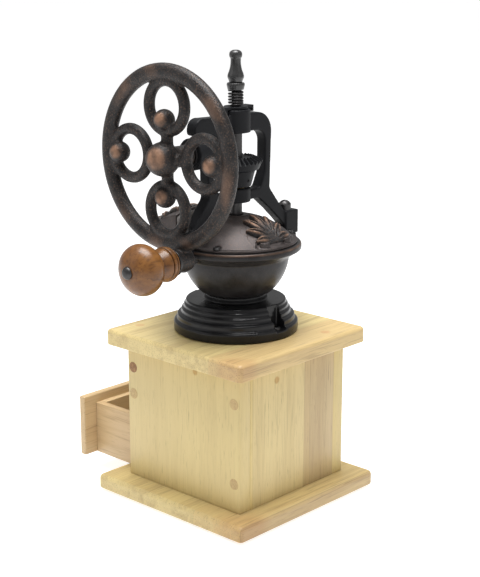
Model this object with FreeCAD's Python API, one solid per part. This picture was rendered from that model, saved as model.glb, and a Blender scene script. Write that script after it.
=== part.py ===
"""Hand crank coffee grinder: wooden drawer box, cast hopper, geared burr mill and hand wheel.

Millimetres. +Z up, -Y towards the drawer front, +X towards the hand wheel.
The origin is the centre of the plane the feet rest on.
"""
import FreeCAD
import Part
import math
import os

V = FreeCAD.Vector
X_AXIS = V(1, 0, 0)
Y_AXIS = V(0, 1, 0)
Z_AXIS = V(0, 0, 1)

# ---- fits ----
RUNNING_FIT = 0.05        # radial gap of a shaft in its bush
SEAT_FIT = 0.02           # radial gap of a piece seated in its hole
SLIDING_GAP = 0.3         # gap beside wooden or cast sliding pieces

# ---- wooden box ----
FELT_THICK = 1.9
FELT_INSET = 6.5          # felt's edge from the base plate's edges
FELT_CORNER = 3.0
BASE_SIZE = 162.0
BASE_THICK = 12.5
BASE_CORNER = 4.0
BASE_TOP_ROUND = 4.0
BASE_LOW_ROUND = 2.0
BOX_SIZE = 124.0
BOX_HEIGHT = 111.9
BOARD_THICK = 12.0
RAIL_HEIGHT = 59.3        # front board above the drawer
TOP_SIZE = 149.0
TOP_THICK = 13.1
TOP_CORNER = 4.0
TOP_ROUND = 3.2
CHUTE_RADIUS = 30.0
DOWEL_RADIUS = 4.5
DOWEL_LENGTH = 30.0
RAIL_DOWEL_EDGE = 18.5    # dowel centres from the rail's upper and lower edges
BACK_DOWEL_EDGE = 23.5    # dowel centres from the back board's upper and lower edges

# ---- drawer ----
DRAWER_OPEN = 56.0        # how far it stands open at rest
FRONT_THICK = 6.5
FRONT_HEIGHT = 52.4
FRONT_ROUND = 1.0
DRAWER_WIDTH = 98.0
DRAWER_DEPTH = 106.0
DRAWER_HEIGHT = 45.0
DRAWER_WALL = 6.0
DRAWER_FLOOR = 3.0
FLOOR_RAISE = 4.0         # floor above the sides' lower edge
GROOVE_DEPTH = 3.0
GROOVE_GAP = 0.1
DRAWER_KNOB_RADIUS = 9.5
DRAWER_KNOB_LENGTH = 19.0
DRAWER_SCREW_RADIUS = 2.0
DRAWER_SCREW_HEAD = 4.0

# ---- stepped pedestal ----
PEDESTAL_STEPS = [(50.0, 8.5), (47.2, 5.5), (43.9, 4.6), (42.0, 3.8), (40.4, 3.2)]
NECK_RADIUS = 25.3
NECK_HEIGHT = 5.0
PEDESTAL_CAVITY = 34.0
PEDESTAL_BORE = 18.0
PEDESTAL_ROOF = 5.0       # casting left over the cavity
RECESS_WIDTH = 12.0
RECESS_FLOOR = 6.6
SCREW_CIRCLE = 43.0
WOOD_SCREW_RADIUS = 1.9
WOOD_SCREW_HEAD = 3.7
WOOD_SCREW_DEPTH = 10.0

# ---- hopper bowl and dome ----
BOWL_FLOOR = 3.6
BOWL_WALL = 3.0
BOWL_RADIUS = 42.4
BOWL_HEIGHT = 30.0        # bowl foot to the flange's under side
BOWL_FLAT = 3.2           # foot radius beyond the neck
FLANGE_RADIUS = 52.3
FLANGE_THICK = 5.4
FLANGE_SLOPE = 6.0
FLANGE_ROUND = 1.2
LUG_REACH = 68.5
LUG_WIDTH = 13.0
LUG_THICK = 6.0
LUG_DROP = 3.2            # lug's top below the flange's top
DOME_RADIUS = 48.0
DOME_RISE = 21.5
DOME_FLAT = 8.0
DOME_WALL = 2.5
DOME_RIM_WIDTH = 3.4
DOME_RIM_HEIGHT = 2.4
DOME_SCREW_CIRCLE = 46.6
DOME_SCREW_ANGLES = (25.0, 155.0, 205.0, 335.0)
DOME_SCREW_RADIUS = 1.4
DOME_SCREW_HEAD = 2.9
LEAF_WIDTH = 42.0
LEAF_START = 12.5         # lobe tips from the mill's axis
LEAF_BASE = 47.0          # leaf's foot from the mill's axis
LEAF_RELIEF = 3.2
LEAF_LOBES = 7
VEIN_WIDTH = 1.3
DOOR_HALF_WIDTH = 21.4
DOOR_INNER = 11.0         # door's upper edge from the mill's axis
DOOR_OPEN = 35.0
DOOR_CHEEK = 1.6          # side walls under the door's skin
RUNNER_WIDTH = 3.0
RUNNER_THICK = 1.4
RUNNER_INNER = 2.0        # runner's inner end from the mill's axis when shut

# ---- burrs and main shaft ----
SHAFT_RADIUS = 5.0
SHAFT_TAIL = 10.0          # shaft end below the bowl's foot
OUTER_BURR_RADIUS = 24.0
OUTER_BURR_HEIGHT = 17.0
OUTER_BURR_LOW = 13.4
OUTER_BURR_HIGH = 19.5
INNER_BURR_LOW = 11.6
INNER_BURR_HIGH = 7.5
INNER_BURR_HEIGHT = 20.0
BURR_FLUTES = 10
BURR_NUT_RADIUS = 7.5
BURR_NUT_HEIGHT = 5.0
BOWL_SCREW_CIRCLE = 21.6
BOWL_SCREW_RADIUS = 1.5
BOWL_SCREW_HEAD = 2.8

# ---- frame; each RISE is a height above the flange's top ----
FRAME_DEPTH = 10.0
CROSSBAR_TOP_RISE = 100.6
CROSSBAR_LOW_RISE = 86.6
ARM_OUTER = 37.2
ARM_INNER = 29.8
WAIST_RISE = 38.6
WAIST_OUTER = 35.0
WINDOW_LOW_RISE = 40.1
WINDOW_FLOOR_HALF = 23.3
WEB_LOW_RISE = 32.1
FOOT_INNER = 53.5
FOOT_TOP_RISE = 16.6
SHOULDER_ROUND = 16.0
WINDOW_ROUND = 10.0
LEG_BEND = (44.8, 26.6)    # outer bend of the leg: reach and rise
ARCH_POINTS = [(48.5, 9.8, 10), (36.6, 20.5, 14)]    # reach, rise and rounding under the legs
ARCH_FOOT_RISE = 5.6
ARM_BEND_RISE = 52.6
HORN_REACH = 49.5         # crossbar's longer end above the crank boss
HORN_LOW_RISE = 88.2
BOSS_RADIUS = 11.7
TOP_BOSS_RISE = 104.6
LOW_BOSS_TOP_RISE = 43.2
LOW_BOSS_FOOT_RISE = 31.8
CRANK_RISE = 74.6
CRANK_BOSS_RADIUS = 12.4
CRANK_BOSS_INNER = 27.0
CRANK_BOSS_OUTER = 51.0
BUSH_WALL = 2.6
FRAME_BOLT_X = 58.8
FRAME_BOLT_RADIUS = 3.0
FRAME_BOLT_HEAD = 5.1
FRAME_BOLT_DOME = 8.0
FRAME_NUT_RADIUS = 5.6
FRAME_NUT_HEIGHT = 4.4

# ---- bevel gears, sharing one cone apex on the crank axis ----
CROWN_TEETH = 30
PINION_TEETH = 15
GEAR_MODULE = 1.4
FACE_WIDTH = 8.0
ADDENDUM = 1.2
DEDENDUM = 1.55
TOOTH_HALF = 0.80         # half thickness at the pitch line, with backlash
FLANK_SLOPE = 0.364
CROWN_HUB_LOW_RISE = 44.6
CROWN_HUB_RADIUS = 12.1
CROWN_HUB_TOP_RISE = 56.6
CROWN_HUB_TOP_RADIUS = 15.2
CROWN_RIM_RADIUS = 18.4
PINION_HUB_RADIUS = 8.0
PINION_HUB_END = 26.5
PIN_RADIUS = 1.25

# ---- crank, wheel and handle ----
CRANK_RADIUS = 4.0
CRANK_INNER_END = 12.0
WHEEL_X = 74.3
WHEEL_RADIUS = 64.5
RIM_HALF_RADIAL = 6.3
RIM_HALF_AXIAL = 5.4
HUB_X = 79.0
HUB_RADIUS = 13.0
HUB_NECK_RADIUS = 8.2
HUB_NECK_BACK = 52.8
SCROLL_CENTRE = 39.0
SCROLL_RADIUS = 18.7
SCROLL_TUBE = 4.4
SPOKE_RADIUS = 4.6
SEAM_TURN = 37.0          # turns the rings' seams away from the joints between them
BALL_RADIUS = 8.2
BALL_X = 77.0
NEAR_BALL = 29.0          # balls of the upper and lower scrolls, from the hub
FAR_BALL = 49.5           # balls of the side scrolls, from the hub
HANDLE_RADIUS = 76.8      # handle's axis from the wheel's axis
HANDLE_ANGLE = 11.3       # degrees from straight down, towards +Y
HANDLE_BOSS_RADIUS = 8.6
HANDLE_BOSS_BACK = 69.0
HANDLE_BOSS_FRONT = 83.6
FERRULE_RADIUS = 10.4
FERRULE_THICK = 2.6
SPINDLE_RADIUS = 3.0
COLLAR_START = 86.6
COLLAR_RADIUS = 13.2
KNOB_NECK_RADIUS = 9.6
BULB_CENTRE = 116.6
BULB_RADIUS = 19.4
BULB_HALF_LENGTH = 14.2
CAP_RADIUS = 4.8
CAP_HEIGHT = 3.0

# ---- grind adjuster ----
SCREW_RADIUS = 3.5
SCREW_LOW_RISE = 93.0
LOCK_LOW_RISE = 105.0
LOCK_THICK = 2.0
LOCK_REACH = 15.7
LOCK_WIDTH = 9.0
LOCK_DISC = 9.5
EAR_DROP = 5.0
SPRING_LOW_RISE = 107.2
SPRING_HIGH_RISE = 119.4
SPRING_RADIUS = 5.1
SPRING_WIRE = 1.05
SPRING_COILS = 5.0
COLLAR_PLATE_LOW_RISE = 119.6
COLLAR_PLATE_HIGH_RISE = 125.0
FINIAL_TOP_RISE = 150.1
FINIAL_PROFILE = [(0, 25.1), (5.0, 25.1), (5.6, 23.3), (6.5, 21.5), (6.6, 20.1), (6.0, 18.3), (4.9, 15.5),
                  (4.2, 12.5), (4.0, 9.1), (4.15, 6.1), (4.9, 5.1), (5.1, 3.5), (4.6, 1.7), (3.2, 0.5),
                  (1.4, 0), (0, 0)]    # radius, depth below the finial's tip

# ---- levels worked out from the sizes above ----
base_low = FELT_THICK
base_top = base_low + BASE_THICK
box_top = base_top + BOX_HEIGHT
plate_top = box_top + TOP_THICK
step_top = plate_top + sum(height for radius, height in PEDESTAL_STEPS)
neck_top = step_top + NECK_HEIGHT
bowl_floor_top = neck_top + BOWL_FLOOR
flange_top = neck_top + BOWL_HEIGHT + FLANGE_SLOPE + FLANGE_THICK
lug_top = flange_top - LUG_DROP
dome_top = flange_top + DOME_RISE
crossbar_top = flange_top + CROSSBAR_TOP_RISE
crossbar_low = flange_top + CROSSBAR_LOW_RISE
waist_z = flange_top + WAIST_RISE
window_low = flange_top + WINDOW_LOW_RISE
web_low = flange_top + WEB_LOW_RISE
foot_top = flange_top + FOOT_TOP_RISE
horn_low = flange_top + HORN_LOW_RISE
top_boss_z = flange_top + TOP_BOSS_RISE
low_boss_top = flange_top + LOW_BOSS_TOP_RISE
low_boss_foot = flange_top + LOW_BOSS_FOOT_RISE
crank_z = flange_top + CRANK_RISE
crown_hub_low = flange_top + CROWN_HUB_LOW_RISE
crown_hub_top = flange_top + CROWN_HUB_TOP_RISE
screw_low = flange_top + SCREW_LOW_RISE
lock_low = flange_top + LOCK_LOW_RISE
spring_low = flange_top + SPRING_LOW_RISE
spring_high = flange_top + SPRING_HIGH_RISE
collar_plate_low = flange_top + COLLAR_PLATE_LOW_RISE
collar_plate_high = flange_top + COLLAR_PLATE_HIGH_RISE
finial_top = flange_top + FINIAL_TOP_RISE
shaft_low = neck_top - SHAFT_TAIL
half_box = BOX_SIZE / 2
inner_half = half_box - BOARD_THICK

os.makedirs("parts", exist_ok=True)


def save(name, shape):
    shape.exportStep("parts/" + name + ".step")


def box(x0, x1, y0, y1, z0, z1):
    return Part.makeBox(x1 - x0, y1 - y0, z1 - z0, V(x0, y0, z0))


def rod(radius, start, end):
    direction = end - start
    return Part.makeCylinder(radius, direction.Length, start, direction)


def tube(outer, inner, start, end):
    return rod(outer, start, end).cut(rod(inner, start, end))


def upright(radius, z0, z1, x=0.0, y=0.0):
    return rod(radius, V(x, y, z0), V(x, y, z1))


def revolve(profile, axis, origin=V(0, 0, 0)):
    """Turn (radius, height) pairs about a line through origin along axis."""
    side = Z_AXIS if axis == X_AXIS else X_AXIS
    points = [origin + side * radius + axis * height for radius, height in profile]
    face = Part.Face(Part.makePolygon(points + [points[0]]))
    return face.revolve(origin, axis, 360)


def fuse_all(shapes):
    result = shapes[0].multiFuse(shapes[1:]) if len(shapes) > 1 else shapes[0]
    return result.removeSplitter()


def edges_where(shape, test):
    return [edge for edge in shape.Edges if test(edge)]


def is_upright(edge):
    box_size = edge.BoundBox
    return box_size.XLength < 1e-3 and box_size.YLength < 1e-3


def lies_at(edge, z):
    return abs(edge.BoundBox.ZMin - z) < 1e-3 and abs(edge.BoundBox.ZMax - z) < 1e-3


def rounded_outline(corners):
    """Closed wire in the XZ plane through (x, z, radius) corners."""
    count = len(corners)
    pieces = []
    starts = []
    for index, (x, z, radius) in enumerate(corners):
        corner = V(x, 0, z)
        before = V(corners[index - 1][0], 0, corners[index - 1][1])
        after = V(corners[(index + 1) % count][0], 0, corners[(index + 1) % count][1])
        to_before = (before - corner).normalize()
        to_after = (after - corner).normalize()
        if radius == 0:
            starts.append((corner, corner, None))
            continue
        half_angle = to_before.getAngle(to_after) / 2
        reach = radius / math.tan(half_angle)
        middle = (to_before + to_after).normalize()
        centre = corner + middle * (radius / math.sin(half_angle))
        starts.append((corner + to_before * reach, corner + to_after * reach, centre - middle * radius))
    for index in range(count):
        entry, leave, bulge = starts[index]
        if bulge is not None:
            pieces.append(Part.Arc(entry, bulge, leave).toShape())
        following = starts[(index + 1) % count][0]
        if (following - leave).Length > 1e-6:
            pieces.append(Part.makeLine(leave, following))
    return Part.Wire(pieces)


def around(shape, angles, axis=Z_AXIS, centre=V(0, 0, 0)):
    """Copies of a shape turned about an axis by each angle."""
    copies = []
    for angle in angles:
        copy = shape.copy()
        copy.rotate(centre, axis, angle)
        copies.append(copy)
    return copies


def mirrored_x(shape):
    return shape.mirror(V(0, 0, 0), X_AXIS)


def cross_slot(radius, z_top, depth, x, y):
    """Cross-shaped driver recess."""
    bar = 0.28 * radius
    reach = 0.62 * radius
    long_way = box(x - reach, x + reach, y - bar, y + bar, z_top - depth, z_top + 1)
    wide_way = box(x - bar, x + bar, y - reach, y + reach, z_top - depth, z_top + 1)
    return long_way.fuse(wide_way)


def pan_screw(shank, head, seat_z, low_z, x, y, head_height):
    body = upright(shank, low_z, seat_z + 0.1, x, y)
    cap = upright(head, seat_z, seat_z + head_height, x, y)
    rim = edges_where(cap, lambda edge: lies_at(edge, seat_z + head_height))
    cap = cap.makeFillet(0.45 * head_height, rim)
    return body.fuse(cap).cut(cross_slot(head, seat_z + head_height, 0.6 * head_height, x, y))


def hexagon(radius, z0, z1, x=0.0, y=0.0):
    points = []
    for index in range(7):
        angle = math.radians(60 * index + 30)
        points.append(V(x + radius * math.cos(angle), y + radius * math.sin(angle), z0))
    return Part.Face(Part.makePolygon(points)).extrude(V(0, 0, z1 - z0))


# ---- wooden box ----
def make_plate(size, low, thick, corner, top_round, low_round):
    half = size / 2
    plate = box(-half, half, -half, half, low, low + thick)
    plate = plate.makeFillet(corner, edges_where(plate, is_upright))
    plate = plate.makeFillet(top_round, edges_where(plate, lambda edge: lies_at(edge, low + thick)))
    return plate.makeFillet(low_round, edges_where(plate, lambda edge: lies_at(edge, low)))


felt_half = BASE_SIZE / 2 - FELT_INSET
felt = box(-felt_half, felt_half, -felt_half, felt_half, 0, FELT_THICK)
save("base_felt", felt.makeFillet(FELT_CORNER, edges_where(felt, is_upright)))
save("base_plate", make_plate(BASE_SIZE, base_low, BASE_THICK, BASE_CORNER,
                              BASE_TOP_ROUND, BASE_LOW_ROUND))

rail_low = box_top - RAIL_HEIGHT
board_middle = half_box - BOARD_THICK / 2
dowel_places = [(-board_middle, rail_low + RAIL_DOWEL_EDGE), (-board_middle, box_top - RAIL_DOWEL_EDGE),
                (board_middle, base_top + BACK_DOWEL_EDGE), (board_middle, box_top - BACK_DOWEL_EDGE)]


def dowel_set(side, radius, length):
    """Dowels driven in from one side face."""
    outer = side * half_box
    return [rod(radius, V(outer, y, z), V(outer - side * length, y, z)) for y, z in dowel_places]


dowel_holes = fuse_all(dowel_set(1, DOWEL_RADIUS + SEAT_FIT, DOWEL_LENGTH + 1)
                       + dowel_set(-1, DOWEL_RADIUS + SEAT_FIT, DOWEL_LENGTH + 1))
for name, side in (("side_panel_right", 1), ("side_panel_left", -1)):
    near, far = sorted((side * inner_half, side * half_box))
    save(name, box(near, far, -half_box, half_box, base_top, box_top).cut(dowel_holes))
save("back_panel", box(-inner_half, inner_half, inner_half, half_box, base_top, box_top).cut(dowel_holes))
save("front_rail", box(-inner_half, inner_half, -half_box, -inner_half, rail_low, box_top).cut(dowel_holes))
save("dowels", Part.makeCompound(dowel_set(1, DOWEL_RADIUS, DOWEL_LENGTH)
                                 + dowel_set(-1, DOWEL_RADIUS, DOWEL_LENGTH)))

top_plate = make_plate(TOP_SIZE, box_top, TOP_THICK, TOP_CORNER, TOP_ROUND, 1.0)
top_plate = top_plate.cut(upright(CHUTE_RADIUS, box_top - 1, plate_top + 1))
for side in (-1, 1):
    top_plate = top_plate.cut(upright(WOOD_SCREW_RADIUS + SEAT_FIT, plate_top - WOOD_SCREW_DEPTH - 0.5,
                                      plate_top + 1, 0, side * SCREW_CIRCLE))
save("top_plate", top_plate)

# ---- drawer, drawn shut and then moved out ----
drawer_shift = V(0, -DRAWER_OPEN, 0)
drawer_low = base_top + SLIDING_GAP
front_back = -half_box - SLIDING_GAP
front_face = front_back - FRONT_THICK
drawer_back_end = front_back + DRAWER_DEPTH
drawer_half = DRAWER_WIDTH / 2
wall_half = drawer_half - DRAWER_WALL
floor_low = drawer_low + FLOOR_RAISE
floor_top = floor_low + DRAWER_FLOOR
knob_z = drawer_low + FRONT_HEIGHT / 2


def save_drawer(name, shape):
    moved = shape.copy()
    moved.translate(drawer_shift)
    save(name, moved)


floor_reach = wall_half + GROOVE_DEPTH - GROOVE_GAP
floor_front = front_back + DRAWER_WALL - GROOVE_DEPTH + GROOVE_GAP
floor_back = drawer_back_end - DRAWER_WALL + GROOVE_DEPTH - GROOVE_GAP
groove = box(-wall_half - GROOVE_DEPTH, wall_half + GROOVE_DEPTH, floor_front - GROOVE_GAP,
             floor_back + GROOVE_GAP, floor_low - GROOVE_GAP, floor_top + GROOVE_GAP)
screw_hole = rod(DRAWER_SCREW_RADIUS + SEAT_FIT, V(0, front_face - 1, knob_z),
                 V(0, front_back + DRAWER_WALL + 1, knob_z))

drawer_front = box(-half_box, half_box, front_face, front_back, drawer_low, drawer_low + FRONT_HEIGHT)
outer_edges = edges_where(drawer_front, lambda edge: abs(edge.BoundBox.YMax - front_face) < 1e-3)
drawer_front = drawer_front.makeFillet(FRONT_ROUND, outer_edges).cut(screw_hole)
save_drawer("drawer_front", drawer_front)
for name, side in (("drawer_side_right", 1), ("drawer_side_left", -1)):
    near, far = sorted((side * wall_half, side * drawer_half))
    wall = box(near, far, front_back, drawer_back_end, drawer_low, drawer_low + DRAWER_HEIGHT)
    save_drawer(name, wall.cut(groove))
inner_front = box(-wall_half, wall_half, front_back, front_back + DRAWER_WALL,
                  drawer_low, drawer_low + DRAWER_HEIGHT)
save_drawer("drawer_inner_front", inner_front.cut(groove).cut(screw_hole))
drawer_back = box(-wall_half, wall_half, drawer_back_end - DRAWER_WALL, drawer_back_end,
                  drawer_low, drawer_low + DRAWER_HEIGHT)
save_drawer("drawer_back", drawer_back.cut(groove))
save_drawer("drawer_bottom", box(-floor_reach, floor_reach, floor_front, floor_back, floor_low, floor_top))

knob_profile = [(0, 0), (0.62, 0), (0.50, 0.12), (0.46, 0.30), (0.70, 0.46), (0.94, 0.60),
                (1.00, 0.74), (0.90, 0.88), (0.62, 0.97), (0, 1.0)]
drawer_knob = revolve([(radius * DRAWER_KNOB_RADIUS, height * DRAWER_KNOB_LENGTH)
                       for radius, height in knob_profile], V(0, -1, 0), V(0, front_face, knob_z))
screw_end = front_face - 0.6 * DRAWER_KNOB_LENGTH
drawer_knob = drawer_knob.cut(rod(DRAWER_SCREW_RADIUS + SEAT_FIT, V(0, front_face + 1, knob_z),
                                  V(0, screw_end - 0.3, knob_z)))
save_drawer("drawer_knob", drawer_knob)
inner_face = front_back + DRAWER_WALL
knob_screw = rod(DRAWER_SCREW_RADIUS, V(0, screw_end, knob_z), V(0, inner_face + 0.1, knob_z))
knob_screw = knob_screw.fuse(rod(DRAWER_SCREW_HEAD, V(0, inner_face, knob_z), V(0, inner_face + 2, knob_z)))
knob_screw = knob_screw.cut(box(-3, 3, inner_face + 1.2, inner_face + 3, knob_z - 0.5, knob_z + 0.5))
save_drawer("drawer_knob_screw", knob_screw)

# ---- stepped pedestal ----
profile = [(PEDESTAL_CAVITY, plate_top)]
level = plate_top
for radius, height in PEDESTAL_STEPS:
    profile.append((radius, level + 0.6))
    level += height
    profile.append((radius, level - 0.8))
    profile.append((radius - 0.8, level))
roof_low = step_top - PEDESTAL_ROOF
profile += [(NECK_RADIUS, step_top), (NECK_RADIUS, neck_top), (PEDESTAL_BORE, neck_top),
            (PEDESTAL_BORE, roof_low), (PEDESTAL_CAVITY, roof_low)]
pedestal = revolve(profile, Z_AXIS)
recess_floor = plate_top + RECESS_FLOOR
for side in (-1, 1):
    near, far = sorted((side * (SCREW_CIRCLE - RECESS_WIDTH / 2 + 1.5), side * (PEDESTAL_STEPS[0][0] + 2)))
    pedestal = pedestal.cut(box(-RECESS_WIDTH / 2, RECESS_WIDTH / 2, near, far, recess_floor, step_top + 1))
    pedestal = pedestal.cut(upright(WOOD_SCREW_RADIUS + SEAT_FIT, plate_top - 1, recess_floor + 1,
                                    0, side * SCREW_CIRCLE))
bowl_screw_angles = (30, 150, 270)
bowl_screw_holes = around(upright(BOWL_SCREW_RADIUS + SEAT_FIT, roof_low - 1, bowl_floor_top - 0.6,
                                  BOWL_SCREW_CIRCLE), bowl_screw_angles)
for hole in bowl_screw_holes:
    pedestal = pedestal.cut(hole)
save("pedestal", pedestal)
save("pedestal_screws", Part.makeCompound(
    [pan_screw(WOOD_SCREW_RADIUS, WOOD_SCREW_HEAD, recess_floor, plate_top - WOOD_SCREW_DEPTH,
               0, side * SCREW_CIRCLE, 2.4) for side in (-1, 1)]))
bowl_screw = upright(BOWL_SCREW_RADIUS, roof_low - 0.1, bowl_floor_top - 0.9, BOWL_SCREW_CIRCLE)
bowl_screw = bowl_screw.fuse(hexagon(BOWL_SCREW_HEAD, roof_low - 2, roof_low, BOWL_SCREW_CIRCLE))
save("bowl_screws", Part.makeCompound(around(bowl_screw, bowl_screw_angles)))

# ---- hopper bowl ----
foot_radius = NECK_RADIUS + BOWL_FLAT - 0.2
wall_top = neck_top + BOWL_HEIGHT
bulge = V(0.866 * BOWL_RADIUS + 0.6, 0, neck_top + 0.42 * BOWL_HEIGHT)
inner_bulge = V(bulge.x - 0.85 * BOWL_WALL, 0, bulge.z + 0.55 * BOWL_WALL)
flange_inner = BOWL_RADIUS - BOWL_WALL
corner_points = [V(14.0, 0, neck_top), V(NECK_RADIUS, 0, neck_top), V(foot_radius, 0, neck_top + 1.3)]
outer_arc = Part.Arc(corner_points[2], bulge, V(BOWL_RADIUS, 0, wall_top - 2)).toShape()
rim_points = [V(BOWL_RADIUS, 0, wall_top - 2), V(BOWL_RADIUS, 0, wall_top),
              V(FLANGE_RADIUS - 1.5, 0, wall_top + FLANGE_SLOPE - 0.6), V(FLANGE_RADIUS, 0, wall_top + FLANGE_SLOPE),
              V(FLANGE_RADIUS, 0, flange_top - FLANGE_ROUND), V(FLANGE_RADIUS - FLANGE_ROUND, 0, flange_top),
              V(flange_inner, 0, flange_top), V(flange_inner, 0, wall_top - 2)]
floor_point = V(foot_radius - 1.0, 0, bowl_floor_top)
inner_arc = Part.Arc(rim_points[-1], inner_bulge, floor_point).toShape()
floor_points = [floor_point, V(14.0, 0, bowl_floor_top), corner_points[0]]
bowl_wire = Part.Wire([Part.makePolygon(corner_points), outer_arc, Part.makePolygon(rim_points),
                       inner_arc, Part.makePolygon(floor_points)])
bowl = Part.Face(bowl_wire).revolve(V(0, 0, 0), Z_AXIS, 360)
lug_low = lug_top - LUG_THICK
for side in (-1, 1):
    near, far = sorted((side * (BOWL_RADIUS - 1), side * LUG_REACH))
    lug = box(near, far, -LUG_WIDTH / 2, LUG_WIDTH / 2, lug_low, lug_top)
    lug_edges = edges_where(lug, lambda edge: is_upright(edge) and abs(edge.BoundBox.Center.x) > LUG_REACH - 1)
    bowl = bowl.fuse(lug.makeFillet(4.0, lug_edges))
for side in (-1, 1):
    bowl = bowl.cut(upright(FRAME_BOLT_RADIUS + SEAT_FIT, lug_low - 8, lug_top + 1, side * FRAME_BOLT_X))
dome_screw_holes = around(upright(DOME_SCREW_RADIUS + SEAT_FIT, flange_top - 4, flange_top + 8,
                                  DOME_SCREW_CIRCLE), DOME_SCREW_ANGLES)
for hole in bowl_screw_holes + dome_screw_holes:
    bowl = bowl.cut(hole)
save("hopper_bowl", bowl.removeSplitter())

# ---- dome cover with its leaf, and the sliding filler door ----
rise_from_centre = (DOME_RADIUS ** 2 - DOME_FLAT ** 2 - DOME_RISE ** 2) / (2 * DOME_RISE)
sphere_radius = math.hypot(DOME_RADIUS, rise_from_centre)
sphere_z = flange_top - rise_from_centre
sphere_centre = V(0, 0, sphere_z)
leaf_pitch = LEAF_WIDTH / 2


def shell(outer, inner):
    ball = Part.makeSphere(outer, sphere_centre)
    return ball.cut(Part.makeSphere(inner, sphere_centre))


def leaf_plan(scale=1.0):
    """Fan of lobes spreading from the leaf's foot towards the mill's axis, in plan."""
    foot = V(0, LEAF_BASE, 0)
    reach = (LEAF_BASE - LEAF_START) * scale
    pieces = [Part.makeCylinder(9.0 * scale, 60, V(0, LEAF_BASE - 11.0, flange_top - 20))]
    for index in range(LEAF_LOBES):
        swing = math.radians(-62 + 124 * index / (LEAF_LOBES - 1))
        length = reach * (0.66 + 0.26 * math.cos(swing) ** 2)
        tip = foot + V(math.sin(swing) * length * 0.9, -math.cos(swing) * length, 0)
        middle = foot + (tip - foot) * 0.62
        pieces.append(Part.makeCylinder(4.6 * scale, 60, V(tip.x, tip.y + 1, flange_top - 20)))
        pieces.append(Part.makeCylinder(5.6 * scale, 60, V(middle.x, middle.y, flange_top - 20)))
    return fuse_all(pieces)


def leaf_veins():
    foot = V(0, LEAF_BASE - 3, 0)
    cuts = []
    for index in range(LEAF_LOBES - 1):
        swing = -62 + 124 * (index + 0.5) / (LEAF_LOBES - 1)
        cut = box(-VEIN_WIDTH / 2, VEIN_WIDTH / 2, -45, -6, flange_top - 20, flange_top + 40)
        cut.rotate(V(0, 0, 0), Z_AXIS, swing)
        cut.translate(foot)
        cuts.append(cut)
    return fuse_all(cuts)


above_flange = box(-70, 70, -70, 70, flange_top, dome_top + 20)
leaf_skin = shell(sphere_radius + LEAF_RELIEF, sphere_radius - 0.8).common(above_flange)
vein_skin = shell(sphere_radius + LEAF_RELIEF + 1, sphere_radius + 0.45 * LEAF_RELIEF)
leaf = leaf_plan().common(leaf_skin).cut(leaf_veins().common(vein_skin))
leaf = leaf.common(box(-LEAF_WIDTH / 2, LEAF_WIDTH / 2, 0, DOME_RADIUS, flange_top, dome_top + 20))

skin = shell(sphere_radius, sphere_radius - DOME_WALL).common(above_flange)
skin = skin.common(upright(DOME_RADIUS, flange_top, dome_top))
roof = upright(DOME_FLAT + 3, dome_top - DOME_WALL, dome_top)
rim = tube(DOME_RADIUS + 1, DOME_RADIUS + 1 - DOME_RIM_WIDTH, V(0, 0, flange_top),
           V(0, 0, flange_top + DOME_RIM_HEIGHT))
whole_dome = fuse_all([skin, roof, rim])
whole_dome = whole_dome.cut(upright(SHAFT_RADIUS + 1.2, dome_top - 10, dome_top + 5))
door_gap = DOOR_HALF_WIDTH + SLIDING_GAP
door_window = box(-door_gap, door_gap, -DOME_RADIUS - 5, -DOOR_INNER + SLIDING_GAP, flange_top - 1, dome_top + 5)
runner_far = DOOR_HALF_WIDTH + RUNNER_WIDTH
runner_slot = box(-runner_far - SLIDING_GAP, runner_far + SLIDING_GAP, -DOME_RADIUS - 5, 0,
                  flange_top - 1, flange_top + RUNNER_THICK + 2 * SLIDING_GAP)
dome_cover = whole_dome.cut(door_window).cut(runner_slot).fuse(leaf).removeSplitter()
screw_seat = flange_top + DOME_RIM_HEIGHT + 0.4
for hole, flat in zip(dome_screw_holes, around(upright(DOME_SCREW_HEAD + 0.5, screw_seat, dome_top,
                                                       DOME_SCREW_CIRCLE), DOME_SCREW_ANGLES)):
    dome_cover = dome_cover.cut(flat).cut(hole)
save("dome_cover", dome_cover)
dome_screws = around(pan_screw(DOME_SCREW_RADIUS, DOME_SCREW_HEAD, screw_seat, flange_top - 3.6,
                               DOME_SCREW_CIRCLE, 0, 1.9), DOME_SCREW_ANGLES)
save("dome_screws", Part.makeCompound(dome_screws))

door_skin = whole_dome.common(box(-DOOR_HALF_WIDTH, DOOR_HALF_WIDTH, -DOME_RADIUS - 5, -DOOR_INNER,
                                  flange_top + SLIDING_GAP, dome_top + 5))
door_leaf = leaf.copy()
door_leaf.rotate(V(0, 0, 0), Z_AXIS, 180)
door_leaf = door_leaf.common(box(-DOOR_HALF_WIDTH, DOOR_HALF_WIDTH, -DOME_RADIUS - 5, -DOOR_INNER,
                                 flange_top + SLIDING_GAP, dome_top + 20))
door_pieces = [door_skin, door_leaf]
for side in (-1, 1):
    near, far = sorted((side * (DOOR_HALF_WIDTH - 2.5), side * runner_far))
    door_pieces.append(box(near, far, -DOME_RADIUS + 6.5, -RUNNER_INNER, flange_top + SLIDING_GAP,
                           flange_top + SLIDING_GAP + RUNNER_THICK))
    near, far = sorted((side * (DOOR_HALF_WIDTH - DOOR_CHEEK), side * DOOR_HALF_WIDTH))
    cheek = box(near, far, -DOME_RADIUS + 6.5, -DOOR_INNER, flange_top + SLIDING_GAP, dome_top)
    door_pieces.append(cheek.common(Part.makeSphere(sphere_radius - 0.4, sphere_centre)))
hopper_door = fuse_all(door_pieces)
hopper_door.translate(V(0, -DOOR_OPEN, 0))
save("hopper_door", hopper_door)

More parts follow.
